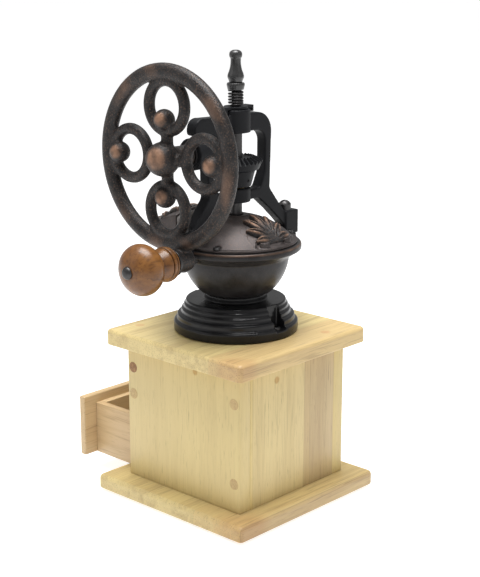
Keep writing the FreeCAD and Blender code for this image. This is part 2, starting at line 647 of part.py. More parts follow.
# ---- burrs ----
burr_low = bowl_floor_top
burr_high = burr_low + OUTER_BURR_HEIGHT
outer_burr = revolve([(OUTER_BURR_LOW, burr_low), (OUTER_BURR_RADIUS, burr_low), (OUTER_BURR_RADIUS, burr_high),
                      (OUTER_BURR_HIGH, burr_high)], Z_AXIS)
tooth_cut = rod(0.9, V(OUTER_BURR_LOW + 0.6, 0, burr_low - 2), V(OUTER_BURR_HIGH + 0.6, 0, burr_high + 2))
for cut in around(tooth_cut, [360 * index / (2 * BURR_FLUTES) for index in range(2 * BURR_FLUTES)]):
    outer_burr = outer_burr.cut(cut)
save("outer_burr", outer_burr)
inner_low = burr_low - 1.5
inner_high = inner_low + INNER_BURR_HEIGHT
inner_burr = revolve([(SHAFT_RADIUS + SEAT_FIT, inner_low), (INNER_BURR_LOW, inner_low),
                      (INNER_BURR_LOW, inner_low + 4), (INNER_BURR_HIGH, inner_high),
                      (SHAFT_RADIUS + SEAT_FIT, inner_high)], Z_AXIS)
flute = rod(1.3, V(INNER_BURR_LOW + 0.3, 0, inner_low - 1), V(INNER_BURR_HIGH + 0.5, 0, inner_high + 1))
for cut in around(flute, [360 * index / BURR_FLUTES for index in range(BURR_FLUTES)]):
    inner_burr = inner_burr.cut(cut)
save("inner_burr", inner_burr)
nut_top = inner_low
burr_nut = hexagon(BURR_NUT_RADIUS, nut_top - BURR_NUT_HEIGHT, nut_top)
save("burr_nut", burr_nut.cut(upright(SHAFT_RADIUS + SEAT_FIT, nut_top - BURR_NUT_HEIGHT - 1, nut_top + 1)))

# ---- frame ----
half_depth = FRAME_DEPTH / 2


def plate_from(corners):
    face = Part.Face(rounded_outline(corners))
    face.translate(V(0, -half_depth, 0))
    return face.extrude(V(0, FRAME_DEPTH, 0))


arm_bend_z = flange_top + ARM_BEND_RISE


def frame_half(side):
    """Outline of one arm and leg, from the top centre round to the web's under side."""
    return [(side * ARM_OUTER, crossbar_top, SHOULDER_ROUND), (side * WAIST_OUTER, waist_z, 4),
            (side * LEG_BEND[0], flange_top + LEG_BEND[1], 0), (side * (FOOT_INNER - 2), foot_top + 2.5, 2),
            (side * FOOT_INNER, foot_top, 0), (side * LUG_REACH, foot_top, 1.5), (side * LUG_REACH, lug_top, 0),
            (side * FOOT_INNER, lug_top, 0), (side * (FOOT_INNER - 0.8), flange_top + ARCH_FOOT_RISE, 6),
            *[(side * reach, flange_top + rise, bend) for reach, rise, bend in ARCH_POINTS],
            (side * 22.0, web_low, 6)]


outline = frame_half(-1) + frame_half(1)[::-1]
frame = plate_from(outline)
window = plate_from([(-ARM_INNER, crossbar_low, WINDOW_ROUND), (ARM_INNER, crossbar_low, WINDOW_ROUND),
                     (ARM_INNER - 0.5, arm_bend_z, 8), (WINDOW_FLOOR_HALF, window_low, 3),
                     (-WINDOW_FLOOR_HALF, window_low, 3), (-ARM_INNER + 0.5, arm_bend_z, 8)])
frame = frame.cut(window)
feet = []
for side in (-1, 1):
    near, far = sorted((side * FOOT_INNER, side * LUG_REACH))
    feet.append(box(near, far, -LUG_WIDTH / 2, LUG_WIDTH / 2, lug_top, foot_top))
horn = plate_from([(20, crossbar_top, 0), (HORN_REACH, crossbar_top + 1, 8), (HORN_REACH, horn_low, 3),
                   (20, crossbar_low + 2, 0)])
crank_boss = rod(CRANK_BOSS_RADIUS, V(CRANK_BOSS_INNER, 0, crank_z), V(CRANK_BOSS_OUTER, 0, crank_z))
frame = fuse_all([frame, horn, crank_boss, upright(BOSS_RADIUS, crossbar_low, top_boss_z),
                  upright(BOSS_RADIUS, low_boss_foot, low_boss_top)] + feet)
bush_outer = SHAFT_RADIUS + BUSH_WALL
crank_bush_outer = CRANK_RADIUS + BUSH_WALL
shaft_top = screw_low - 0.6
frame_cuts = [upright(bush_outer + SEAT_FIT, crossbar_low - 1, shaft_top + 0.3),
              upright(SCREW_RADIUS + RUNNING_FIT, shaft_top, top_boss_z + 1),
              upright(bush_outer + SEAT_FIT, low_boss_foot - 1, low_boss_top + 1),
              rod(crank_bush_outer + SEAT_FIT, V(CRANK_BOSS_INNER - 1, 0, crank_z),
                  V(CRANK_BOSS_OUTER + 1, 0, crank_z))]
for side in (-1, 1):
    frame_cuts.append(upright(FRAME_BOLT_RADIUS + SEAT_FIT, lug_top - 1, foot_top + 1, side * FRAME_BOLT_X))
for cut in frame_cuts:
    frame = frame.cut(cut)
save("yoke_frame", frame)

bolts = []
nuts = []
nut_low = lug_low - FRAME_NUT_HEIGHT
for side in (-1, 1):
    x = side * FRAME_BOLT_X
    shank = upright(FRAME_BOLT_RADIUS, nut_low - 1.5, foot_top + 0.1, x)
    dome_radius = (FRAME_BOLT_HEAD ** 2 + FRAME_BOLT_DOME ** 2) / (2 * FRAME_BOLT_DOME)
    head = Part.makeSphere(dome_radius, V(x, 0, foot_top + FRAME_BOLT_DOME - dome_radius))
    head = head.common(upright(FRAME_BOLT_HEAD, foot_top, foot_top + FRAME_BOLT_DOME + 1, x))
    slot = box(x - FRAME_BOLT_HEAD, x + FRAME_BOLT_HEAD, -0.7, 0.7, foot_top + FRAME_BOLT_DOME - 1.8,
               foot_top + FRAME_BOLT_DOME + 1)
    bolts.append(shank.fuse(head).cut(slot))
    nut = hexagon(FRAME_NUT_RADIUS, nut_low, lug_low, x)
    nuts.append(nut.cut(upright(FRAME_BOLT_RADIUS + SEAT_FIT, nut_low - 1, lug_low + 1, x)))
save("frame_bolts", Part.makeCompound(bolts))
save("frame_nuts", Part.makeCompound(nuts))
save("upper_bush", tube(bush_outer, SHAFT_RADIUS + RUNNING_FIT, V(0, 0, crossbar_low), V(0, 0, shaft_top)))
save("lower_bush", tube(bush_outer, SHAFT_RADIUS + RUNNING_FIT, V(0, 0, low_boss_foot), V(0, 0, low_boss_top)))
save("crank_bush", tube(crank_bush_outer, CRANK_RADIUS + RUNNING_FIT, V(CRANK_BOSS_INNER, 0, crank_z),
                        V(CRANK_BOSS_OUTER, 0, crank_z)))

# ---- bevel gears ----
apex = V(0, 0, crank_z)
pinion_pitch = GEAR_MODULE * PINION_TEETH / 2
crown_pitch = GEAR_MODULE * CROWN_TEETH / 2
cone_length = math.hypot(pinion_pitch, crown_pitch)
taper = (cone_length - FACE_WIDTH) / cone_length


def bevel_teeth(count, pitch_angle, axis, side, first_angle):
    """Straight teeth that all taper to the shared apex."""
    along = axis * math.cos(pitch_angle) + side * math.sin(pitch_angle)
    outward = axis * -math.sin(pitch_angle) + side * math.cos(pitch_angle)
    across = axis.cross(side)
    section = []
    for height, sign in ((-DEDENDUM - 0.4, -1), (ADDENDUM, -1), (ADDENDUM, 1), (-DEDENDUM - 0.4, 1)):
        half = TOOTH_HALF - height * FLANK_SLOPE
        section.append(along * cone_length + outward * height + across * (sign * half))
    wires = []
    for scale in (1.0, taper):
        points = [apex + point * scale for point in section]
        wires.append(Part.makePolygon(points + [points[0]]))
    tooth = Part.makeLoft(wires, True, True)
    angles = [first_angle + 360 * index / count for index in range(count)]
    return around(tooth, angles, axis, apex)


def root_point(pitch_angle, scale):
    """Radius from the axis and distance from the apex of the tooth root."""
    radius = (cone_length * math.sin(pitch_angle) - DEDENDUM * math.cos(pitch_angle)) * scale
    distance = (cone_length * math.cos(pitch_angle) + DEDENDUM * math.sin(pitch_angle)) * scale
    return radius, distance


crown_angle = math.atan2(CROWN_TEETH, PINION_TEETH)
pinion_angle = math.atan2(PINION_TEETH, CROWN_TEETH)
outer_root, outer_drop = root_point(crown_angle, 1.0)
inner_root, inner_drop = root_point(crown_angle, taper)
crown_bore = SHAFT_RADIUS + SEAT_FIT
crown_body = revolve([(crown_bore, crown_hub_low), (CROWN_HUB_RADIUS, crown_hub_low),
                      (CROWN_HUB_TOP_RADIUS, crown_hub_top), (CROWN_RIM_RADIUS, crown_hub_top + 1.5),
                      (outer_root, crank_z - outer_drop), (inner_root, crank_z - inner_drop),
                      (crown_bore, crank_z - inner_drop)], Z_AXIS)
crown = fuse_all([crown_body] + bevel_teeth(CROWN_TEETH, crown_angle, V(0, 0, -1), X_AXIS, 0))
crown_pin_z = crown_hub_low + 5
crown_pin_reach = CROWN_HUB_RADIUS + 0.6
crown_pin = rod(PIN_RADIUS, V(0, -crown_pin_reach, crown_pin_z), V(0, crown_pin_reach, crown_pin_z))
crown_pin_hole = rod(PIN_RADIUS + SEAT_FIT, V(0, -30, crown_pin_z), V(0, 30, crown_pin_z))
save("crown_gear", crown.cut(crown_pin_hole))
save("crown_pin", crown_pin)

pinion_root, pinion_reach = root_point(pinion_angle, 1.0)
pinion_inner, pinion_start = root_point(pinion_angle, taper)
pinion_bore = CRANK_RADIUS + SEAT_FIT
pinion_body = revolve([(pinion_bore, pinion_start), (pinion_inner, pinion_start), (pinion_root, pinion_reach),
                       (PINION_HUB_RADIUS, pinion_reach + 1.2), (PINION_HUB_RADIUS, PINION_HUB_END),
                       (pinion_bore, PINION_HUB_END)], X_AXIS, apex)
pinion = fuse_all([pinion_body] + bevel_teeth(PINION_TEETH, pinion_angle, X_AXIS, V(0, 0, -1),
                                              180 / PINION_TEETH))
pinion_pin_x = (pinion_reach + 1.2 + PINION_HUB_END) / 2 + 0.3
pinion_pin_reach = PINION_HUB_RADIUS + 0.5
pinion_pin_hole = rod(PIN_RADIUS + SEAT_FIT, V(pinion_pin_x, -30, crank_z), V(pinion_pin_x, 30, crank_z))
save("bevel_pinion", pinion.cut(pinion_pin_hole))
save("pinion_pin", rod(PIN_RADIUS, V(pinion_pin_x, -pinion_pin_reach, crank_z),
                       V(pinion_pin_x, pinion_pin_reach, crank_z)))

save("main_shaft", upright(SHAFT_RADIUS, shaft_low, shaft_top).cut(crown_pin_hole))

# ---- crank shaft, hand wheel and handle ----
wheel_centre = V(WHEEL_X, 0, crank_z)
crank_end = HUB_X + 5
set_screw_x = HUB_NECK_BACK + 6
set_screw_hole = rod(1.5 + SEAT_FIT, V(set_screw_x, 0, crank_z + CRANK_RADIUS - 1),
                     V(set_screw_x, 0, crank_z + 20))
crank_shaft = rod(CRANK_RADIUS, V(CRANK_INNER_END, 0, crank_z), V(crank_end, 0, crank_z))
save("crank_shaft", crank_shaft.cut(pinion_pin_hole).cut(set_screw_hole))
save("crank_washer", tube(HUB_NECK_RADIUS + 1, CRANK_RADIUS + SEAT_FIT, V(CRANK_BOSS_OUTER + SLIDING_GAP, 0, crank_z),
                          V(HUB_NECK_BACK, 0, crank_z)))
save("wheel_set_screw", rod(1.5, V(set_screw_x, 0, crank_z + CRANK_RADIUS - 0.9),
                            V(set_screw_x, 0, crank_z + HUB_NECK_RADIUS - 0.6)))

rim_section = Part.Ellipse(V(WHEEL_X, 0, crank_z + WHEEL_RADIUS + RIM_HALF_RADIAL),
                           V(WHEEL_X + RIM_HALF_AXIAL, 0, crank_z + WHEEL_RADIUS),
                           V(WHEEL_X, 0, crank_z + WHEEL_RADIUS)).toShape()
rim_ring = Part.Face(Part.Wire([rim_section])).revolve(wheel_centre, X_AXIS, 360)
rim_ring.rotate(wheel_centre, X_AXIS, SEAM_TURN)
handle_angle = math.radians(HANDLE_ANGLE)
handle_y = HANDLE_RADIUS * math.sin(handle_angle)
handle_z = crank_z - HANDLE_RADIUS * math.cos(handle_angle)


def on_handle(x):
    return V(x, handle_y, handle_z)


wheel_pieces = [rim_ring, Part.makeSphere(HUB_RADIUS, V(HUB_X, 0, crank_z)),
                rod(HUB_NECK_RADIUS, V(HUB_NECK_BACK, 0, crank_z), V(HUB_X, 0, crank_z)),
                rod(HANDLE_BOSS_RADIUS, on_handle(HANDLE_BOSS_BACK), on_handle(HANDLE_BOSS_FRONT))]
for index in range(4):
    direction = V(0, math.cos(index * math.pi / 2), math.sin(index * math.pi / 2))
    ring_centre = wheel_centre + direction * SCROLL_CENTRE
    scroll = Part.makeTorus(SCROLL_RADIUS, SCROLL_TUBE, ring_centre, X_AXIS)
    scroll.rotate(ring_centre, X_AXIS, SEAM_TURN / 2 + 90 * index)
    wheel_pieces.append(scroll)
    wheel_pieces.append(rod(SPOKE_RADIUS, wheel_centre, wheel_centre + direction * (SCROLL_CENTRE - SCROLL_RADIUS)))
    ball_reach = NEAR_BALL if index % 2 else FAR_BALL
    wheel_pieces.append(Part.makeSphere(BALL_RADIUS, V(BALL_X, 0, crank_z) + direction * ball_reach))
hand_wheel = wheel_pieces[0]
for piece in wheel_pieces[1:]:
    hand_wheel = hand_wheel.fuse(piece)
wheel_bore = rod(CRANK_RADIUS + SEAT_FIT, V(HUB_NECK_BACK - 1, 0, crank_z), V(crank_end + 0.2, 0, crank_z))
spindle_bore = rod(SPINDLE_RADIUS + SEAT_FIT, on_handle(HANDLE_BOSS_BACK - 2), on_handle(HANDLE_BOSS_FRONT + 2))
hand_wheel = hand_wheel.cut(wheel_bore).cut(set_screw_hole).cut(spindle_bore)
save("hand_wheel", hand_wheel)

ferrule_front = HANDLE_BOSS_FRONT + FERRULE_THICK
save("handle_ferrule", tube(FERRULE_RADIUS, SPINDLE_RADIUS + SEAT_FIT, on_handle(HANDLE_BOSS_FRONT),
                            on_handle(ferrule_front)))
bulb_end = BULB_CENTRE + BULB_HALF_LENGTH
bore_radius = SPINDLE_RADIUS + RUNNING_FIT
knob_outline = [(bore_radius, COLLAR_START), (9.8, COLLAR_START), (11.6, COLLAR_START + 1.6),
                (COLLAR_RADIUS - 0.4, COLLAR_START + 3.6), (COLLAR_RADIUS - 1.2, COLLAR_START + 4.4),
                (COLLAR_RADIUS, COLLAR_START + 5.2), (COLLAR_RADIUS, COLLAR_START + 7.6),
                (COLLAR_RADIUS - 1.2, COLLAR_START + 8.4), (COLLAR_RADIUS - 0.4, COLLAR_START + 9.2),
                (11.4, COLLAR_START + 12.4), (KNOB_NECK_RADIUS, COLLAR_START + 15.4)]
start_height = COLLAR_START + 17.0 - BULB_CENTRE
start_angle = math.acos(start_height / BULB_HALF_LENGTH)
for index in range(15):
    angle = start_angle * (1 - index / 14) + 0.30 * index / 14
    knob_outline.append((BULB_RADIUS * math.sin(angle), BULB_CENTRE + BULB_HALF_LENGTH * math.cos(angle)))
knob_face_x = knob_outline[-1][1]
knob_outline.append((bore_radius, knob_face_x))
handle_knob = revolve(knob_outline, X_AXIS, V(0, handle_y, handle_z))
save("handle_knob", handle_knob)
spindle = rod(SPINDLE_RADIUS, on_handle(HANDLE_BOSS_BACK), on_handle(knob_face_x + SLIDING_GAP + 0.4))
save("knob_spindle", spindle)
cap_start = knob_face_x + SLIDING_GAP
cap_ball_radius = (CAP_RADIUS ** 2 + CAP_HEIGHT ** 2) / (2 * CAP_HEIGHT)
screw_cap = Part.makeSphere(cap_ball_radius, on_handle(cap_start + CAP_HEIGHT - cap_ball_radius))
screw_cap = screw_cap.common(rod(CAP_RADIUS, on_handle(cap_start), on_handle(cap_start + CAP_HEIGHT + 1)))
save("knob_cap", screw_cap.cut(rod(SPINDLE_RADIUS + SEAT_FIT, on_handle(cap_start - 1), on_handle(cap_start + 0.5))))

# ---- grind adjuster ----
adjusting_screw = upright(SCREW_RADIUS, screw_low, collar_plate_high + 6)
save("adjusting_screw", adjusting_screw)
lock_top = lock_low + LOCK_THICK
lock = upright(LOCK_DISC, lock_low, lock_top)
lock = lock.fuse(box(-LOCK_REACH, LOCK_REACH, -LOCK_WIDTH / 2, LOCK_WIDTH / 2, lock_low, lock_top))
for side in (-1, 1):
    near, far = sorted((side * (LOCK_REACH - LOCK_THICK), side * LOCK_REACH))
    lock = lock.fuse(box(near, far, -LOCK_WIDTH / 2, LOCK_WIDTH / 2, lock_top - EAR_DROP, lock_top))
lock = lock.cut(upright(SCREW_RADIUS + SLIDING_GAP, lock_low - 1, lock_top + 1)).removeSplitter()
save("lock_plate", lock)

coil_height = spring_high - spring_low - 2 * SPRING_WIRE
helix = Part.makeHelix(coil_height / SPRING_COILS, coil_height, SPRING_RADIUS)
wire_circle = Part.makeCircle(SPRING_WIRE, V(SPRING_RADIUS, 0, 0), Y_AXIS)
spring = Part.Wire(helix.Edges).makePipeShell([Part.Wire([wire_circle])], True, True)
spring.translate(V(0, 0, spring_low + SPRING_WIRE))
save("adjuster_spring", spring)

thread_bore = upright(SCREW_RADIUS + SEAT_FIT, collar_plate_low - 1, collar_plate_high + 6.2)
collar = revolve([(0, collar_plate_low), (6.3, collar_plate_low), (6.6, collar_plate_low + 1.6),
                  (7.2, collar_plate_high - 1.2), (6.6, collar_plate_high), (0, collar_plate_high)], Z_AXIS)
save("spring_collar", collar.cut(thread_bore))
finial = revolve([(radius, finial_top - drop) for radius, drop in FINIAL_PROFILE], Z_AXIS)
save("finial_nut", finial.cut(thread_bore))
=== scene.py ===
"""Looks of the hand crank coffee grinder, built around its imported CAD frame. Metres, +Z up."""

import bmesh
import bpy
import math
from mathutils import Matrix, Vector, noise


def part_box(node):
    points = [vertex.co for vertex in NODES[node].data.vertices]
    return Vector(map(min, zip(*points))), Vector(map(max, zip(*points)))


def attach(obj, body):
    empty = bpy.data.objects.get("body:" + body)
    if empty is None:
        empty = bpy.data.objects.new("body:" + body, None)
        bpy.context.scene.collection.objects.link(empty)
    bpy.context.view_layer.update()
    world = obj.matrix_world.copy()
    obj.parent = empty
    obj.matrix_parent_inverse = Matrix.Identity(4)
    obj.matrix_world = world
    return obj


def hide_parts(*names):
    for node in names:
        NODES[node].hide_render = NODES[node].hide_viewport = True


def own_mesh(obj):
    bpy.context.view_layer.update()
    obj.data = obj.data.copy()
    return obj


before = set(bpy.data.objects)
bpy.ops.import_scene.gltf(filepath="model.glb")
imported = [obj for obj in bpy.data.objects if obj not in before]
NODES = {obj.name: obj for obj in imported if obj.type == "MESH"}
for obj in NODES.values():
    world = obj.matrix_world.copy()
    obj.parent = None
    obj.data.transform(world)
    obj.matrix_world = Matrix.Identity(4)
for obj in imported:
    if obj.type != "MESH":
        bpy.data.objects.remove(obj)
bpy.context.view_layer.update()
MM = 0.001

# ---- camera, at the angle of the reference view ----
CAMERA_PLACE = (0.77512, 0.72758, 0.45011)
CAMERA_CLIP = (0.05, 40.0)
CAMERA_AZIMUTH = math.radians(133.01)
CAMERA_ELEVATION = math.radians(14.67)
FOCAL_LENGTH = 85.35
SENSOR = 36.0


def make_camera():
    data = bpy.data.cameras.new("camera")
    data.lens = FOCAL_LENGTH
    data.sensor_width = SENSOR
    data.clip_start, data.clip_end = CAMERA_CLIP
    camera = bpy.data.objects.new("camera", data)
    bpy.context.collection.objects.link(camera)
    back = Vector((math.sin(CAMERA_AZIMUTH) * math.cos(CAMERA_ELEVATION),
                   -math.cos(CAMERA_AZIMUTH) * math.cos(CAMERA_ELEVATION), math.sin(CAMERA_ELEVATION)))
    camera.location = CAMERA_PLACE
    camera.rotation_mode = "QUATERNION"
    camera.rotation_quaternion = (-back).to_track_quat("-Z", "Y")
    bpy.context.scene.camera = camera


# ---- node materials ----
class Shader:
    """A principled material with short helpers for its node tree."""

    def __init__(self, name, roughness=0.5, metallic=0.0, specular=0.5, coat=0.0, coat_roughness=0.1):
        self.material = bpy.data.materials.new(name)
        self.material.use_nodes = True
        self.tree = self.material.node_tree
        self.surface = self.tree.nodes["Principled BSDF"]
        self.set("Roughness", roughness)
        self.set("Metallic", metallic)
        self.set("Specular IOR Level", specular)
        self.set("Coat Weight", coat)
        self.set("Coat Roughness", coat_roughness)
        self.place = self.tree.nodes.new("ShaderNodeTexCoord").outputs["Object"]

    def set(self, socket, value):
        self.surface.inputs[socket].default_value = value

    def link(self, output, socket):
        self.tree.links.new(output, self.surface.inputs[socket])

    def feed(self, socket, value):
        """Joins another node's output to a socket, or writes a constant on it."""
        if isinstance(value, bpy.types.NodeSocket):
            self.tree.links.new(value, socket)
        else:
            socket.default_value = value

    def node(self, kind, **inputs):
        made = self.tree.nodes.new(kind)
        for key, value in inputs.items():
            self.feed(made.inputs[key.replace("_", " ")], value)
        return made

    def mapped(self, scale=(1, 1, 1), offset=(0, 0, 0), rotation=(0, 0, 0)):
        return self.node("ShaderNodeMapping", Vector=self.place, Scale=scale, Location=offset,
                         Rotation=rotation).outputs["Vector"]

    def noise(self, vector, scale, detail=4.0, roughness=0.55, distortion=0.0):
        return self.node("ShaderNodeTexNoise", Vector=vector, Scale=scale, Detail=detail,
                         Roughness=roughness, Distortion=distortion).outputs["Fac"]

    def ramp(self, factor, *stops):
        made = self.node("ShaderNodeValToRGB", Fac=factor)
        elements = made.color_ramp.elements
        while len(elements) < len(stops):
            elements.new(0.5)
        for element, (position, color) in zip(elements, stops):
            element.position = position
            element.color = (*color, 1.0)
        return made.outputs["Color"]

    def grey_ramp(self, factor, *stops):
        """A ramp between single values, for masks and roughness."""
        return self.ramp(factor, *((position, (value,) * 3) for position, value in stops))

    def math(self, operation, first, second=0.5, clamp=False):
        made = self.tree.nodes.new("ShaderNodeMath")
        made.operation = operation
        made.use_clamp = clamp
        for socket, value in zip(made.inputs, (first, second)):
            self.feed(socket, value)
        return made.outputs[0]

    def mix(self, factor, first, second, blend="MIX"):
        made = self.tree.nodes.new("ShaderNodeMix")
        made.data_type = "RGBA"
        made.blend_type = blend
        self.feed(made.inputs[0], factor)
        for socket, color in ((made.inputs[6], first), (made.inputs[7], second)):
            self.feed(socket, (*color, 1.0) if isinstance(color, tuple) else color)
        return made.outputs[2]

    def tinted(self, mask, color, tint):
        """The colour, multiplied by the tint where the mask is white."""
        return self.mix(mask, color, self.mix(1.0, color, tint, "MULTIPLY"))

    def bump(self, height, strength, distance):
        made = self.node("ShaderNodeBump", Height=height, Strength=strength, Distance=distance)
        self.link(made.outputs["Normal"], "Normal")

    def attribute(self, name):
        made = self.tree.nodes.new("ShaderNodeAttribute")
        made.attribute_name = name
        return made.outputs["Fac"]

    def axis(self, vector, name):
        return self.node("ShaderNodeSeparateXYZ", Vector=vector).outputs[name]


def scaled(color, gain, lift=0.0):
    return tuple(gain * value + lift for value in color)


def stretched(grain, along, across):
    """Texture scale that runs long along the grain axis."""
    return tuple(along if name == grain else across for name in "XYZ")


SEAM_WIDTH = 0.00022      # half the width of a glue line


def wood(name, light, dark, grain, offset=(0, 0, 0), streak=0.5, gloss=0.42, strips=None, patches=()):
    """Sawn pale hardwood: slow colour drift, growth bands, fine pores and glued strips."""
    shader = Shader(name, roughness=gloss, specular=0.35, coat=0.12, coat_roughness=0.3)
    slow = shader.noise(shader.mapped(stretched(grain, 3.0, 14.0), offset), 1.0, 3.0)
    bands = shader.noise(shader.mapped(stretched(grain, 5.0, 95.0), offset), 1.0, 5.0, 0.6, 0.8)
    pores = shader.noise(shader.mapped(stretched(grain, 30.0, 900.0), offset), 1.0, 2.0, 0.5)
    flecks = shader.noise(shader.mapped(stretched(grain, 90.0, 1500.0), offset), 1.0, 1.0)
    drift = shader.ramp(slow, (0.32, light), (0.72, tuple(0.75 * a + 0.25 * b for a, b in zip(light, dark))))
    band_mask = shader.grey_ramp(bands, (0.46, 0), (0.70, 1))
    band_weight = shader.math("MULTIPLY", band_mask, 0.85 * streak)
    color = shader.mix(band_weight, drift, dark)
    pore_mask = shader.grey_ramp(pores, (0.55, 0), (0.70, 1))
    color = shader.mix(shader.math("MULTIPLY", pore_mask, 0.62 * streak), color, scaled(dark, 0.62))
    fleck_mask = shader.grey_ramp(flecks, (0.66, 0), (0.74, 1))
    color = shader.mix(shader.math("MULTIPLY", fleck_mask, 0.38), color, scaled(dark, 0.5))
    if strips is not None:
        axis_name, stops = strips
        position = shader.axis(shader.place, axis_name)
        for low, high, tint in stops:
            inside = shader.math("MULTIPLY", shader.math("GREATER_THAN", position, low),
                                 shader.math("LESS_THAN", position, high))
            color = shader.tinted(inside, color, tint)
            seam = shader.math("COMPARE", position, low)
            seam.node.inputs[2].default_value = SEAM_WIDTH
            color = shader.mix(shader.math("MULTIPLY", seam, 0.35), color, scaled(dark, 0.5))
    for centre, radius, tint in patches:
        away = shader.node("ShaderNodeVectorMath", Vector=shader.mapped((1, 1, 1)))
        away.operation = "DISTANCE"
        away.inputs[1].default_value = centre
        ragged = shader.math("ADD", away.outputs["Value"], shader.math("MULTIPLY", bands, 0.6 * radius))
        near = shader.grey_ramp(shader.math("DIVIDE", ragged, radius), (0.75, 1), (1.0, 0))
        color = shader.tinted(near, color, tint)
    shader.link(color, "Base Color")
    shader.link(shader.grey_ramp(bands, (0.3, gloss - 0.06), (0.8, gloss + 0.1)), "Roughness")
    shader.bump(shader.math("ADD", shader.math("MULTIPLY", bands, 0.5), pores), 0.22, 0.00012)
    return shader.material


def cast_metal(name, base, worn, roughness, speckle, metallic=0.35, specular=0.4, wear=0.9,
               grain=900.0, bumpiness=0.00022):
    """Cast and bronzed iron: sandy skin, mottling, and a coppery rub where the wear is high."""
    shader = Shader(name, roughness=roughness, metallic=metallic, specular=specular)
    place = shader.mapped()
    sand = shader.noise(place, grain, 3.0, 0.6)
    mottle = shader.noise(place, 90.0, 4.0, 0.6)
    color = shader.mix(shader.grey_ramp(mottle, (0.35, 0), (0.7, 1)), base, scaled(base, 1.7, 0.008))
    grit = shader.grey_ramp(sand, (0.52, 0), (0.72, 1))
    color = shader.mix(shader.math("MULTIPLY", grit, speckle), color, scaled(worn, 0.35, 0.02))
    rub = shader.math("MULTIPLY", shader.attribute("wear"), wear)
    rub = shader.math("MULTIPLY", rub, shader.grey_ramp(mottle, (0.28, 0.45), (0.62, 1)), True)
    color = shader.mix(rub, color, worn)
    shader.link(color, "Base Color")
    shader.link(shader.grey_ramp(mottle, (0.3, roughness - 0.05), (0.75, roughness + 0.09)), "Roughness")
    shader.bump(shader.math("ADD", shader.math("MULTIPLY", sand, 0.7), mottle), 0.35, bumpiness)
    return shader.material


def enamel(name, base, roughness, coat, specular=0.4, texture=0.12):
    """Stoved black finish with faint orange peel and dust."""
    shader = Shader(name, roughness=roughness, specular=specular, coat=coat, coat_roughness=0.06)
    place = shader.mapped()
    peel = shader.noise(place, 420.0, 2.0)
    cloud = shader.noise(place, 55.0, 4.0)
    shader.link(shader.mix(cloud, base, scaled(base, 1.8, 0.003)), "Base Color")
    shader.link(shader.grey_ramp(cloud, (0.3, roughness), (0.8, roughness + 0.12)), "Roughness")
    shader.bump(peel, texture, 0.00015)
    return shader.material


def metal(name, base, roughness):
    """Turned or blackened steel with fine tool marks."""
    shader = Shader(name, roughness=roughness, metallic=0.9, specular=0.5)
    place = shader.mapped((1, 1, 6))
    marks = shader.noise(place, 500.0, 3.0)
    stain = shader.noise(shader.mapped(), 160.0, 3.0)
    shader.link(shader.mix(stain, scaled(base, 0.75), scaled(base, 1.2)), "Base Color")
    shader.link(shader.grey_ramp(marks, (0.3, roughness - 0.06), (0.7, roughness + 0.1)), "Roughness")
    shader.bump(marks, 0.25, 0.00008)
    return shader.material


def varnished(name, light, dark, offset):
    """Turned and varnished knob wood along X: long figure with dark streaks under a clear gloss."""
    shader = Shader(name, roughness=0.42, specular=0.35, coat=0.22, coat_roughness=0.24)
    figure = shader.noise(shader.mapped(stretched("X", 16.0, 60.0), offset), 1.0, 5.0, 0.62, 1.4)
    streaks = shader.noise(shader.mapped(stretched("X", 60.0, 520.0)), 1.0, 3.0, 0.6, 0.4)
    middle = tuple(0.5 * (a + b) for a, b in zip(light, dark))
    color = shader.ramp(figure, (0.30, dark), (0.52, middle), (0.72, light))
    streak_mask = shader.grey_ramp(streaks, (0.50, 0), (0.68, 1))
    color = shader.mix(shader.math("MULTIPLY", streak_mask, 0.55), color, scaled(dark, 0.45))
    # the knob's grooves and neck are coloured darker, where the wear attribute is high
    groove = shader.math("MULTIPLY", shader.attribute("wear"), 0.8)
    color = shader.mix(groove, color, GROOVE_DARK_TONE)
    shader.link(color, "Base Color")
    shader.link(shader.grey_ramp(figure, (0.3, 0.28), (0.8, 0.42)), "Roughness")
    shader.bump(streaks, 0.12, 0.0001)
    return shader.material


def end_grain(name, light, dark):
    """Sawn end of a dowel: rings and pores."""
    shader = Shader(name, roughness=0.5, specular=0.3)
    rings = shader.noise(shader.mapped(), 380.0, 4.0, 0.6, 1.5)
    shader.link(shader.ramp(rings, (0.35, dark), (0.65, light)), "Base Color")
    shader.link(shader.grey_ramp(rings, (0.3, 0.42), (0.7, 0.6)), "Roughness")
    shader.bump(rings, 0.3, 0.0001)
    return shader.material


def felt(name, base):
    shader = Shader(name, roughness=0.95, specular=0.1)
    fibres = shader.noise(shader.mapped(), 1500.0, 4.0, 0.7, 2.0)
    shader.link(shader.ramp(fibres, (0.3, scaled(base, 0.6)), (0.7, scaled(base, 1.6))), "Base Color")
    shader.bump(fibres, 0.8, 0.0004)
    return shader.material


CREAM = (0.660, 0.530, 0.245)
CREAM_DARK = (0.420, 0.300, 0.140)
TAN = (0.580, 0.425, 0.235)
TAN_DARK = (0.400, 0.250, 0.125)
BRONZE = (0.0125, 0.0118, 0.0120)
# the dome's brown is lifted well above the other bronze: partly its own tone, partly a painted sheen
DOME_BROWN_AND_SHEEN = (0.042, 0.036, 0.035)
COPPER = (0.330, 0.185, 0.115)
# darker colour laid in the knob's turned grooves and at its neck
GROOVE_DARK_TONE = (0.03, 0.012, 0.005)
PLUG_TINT = (0.93, 0.78, 0.76)
KNOT_TINT = (0.80, 0.66, 0.50)
PLUG_PATCH = 0.0062


def from_corner(node, x, y, z):
    """A place this far from the board's +X +Y upper corner."""
    return tuple(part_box(node)[1] + Vector((x, y, z)))


side_wood = wood("side_wood", CREAM, CREAM_DARK, "Z", (0.3, 0.1, 0), 0.26,
                 patches=[(from_corner("side_panel_right", 0, -0.0473, -0.0068), 0.0042, KNOT_TINT)])
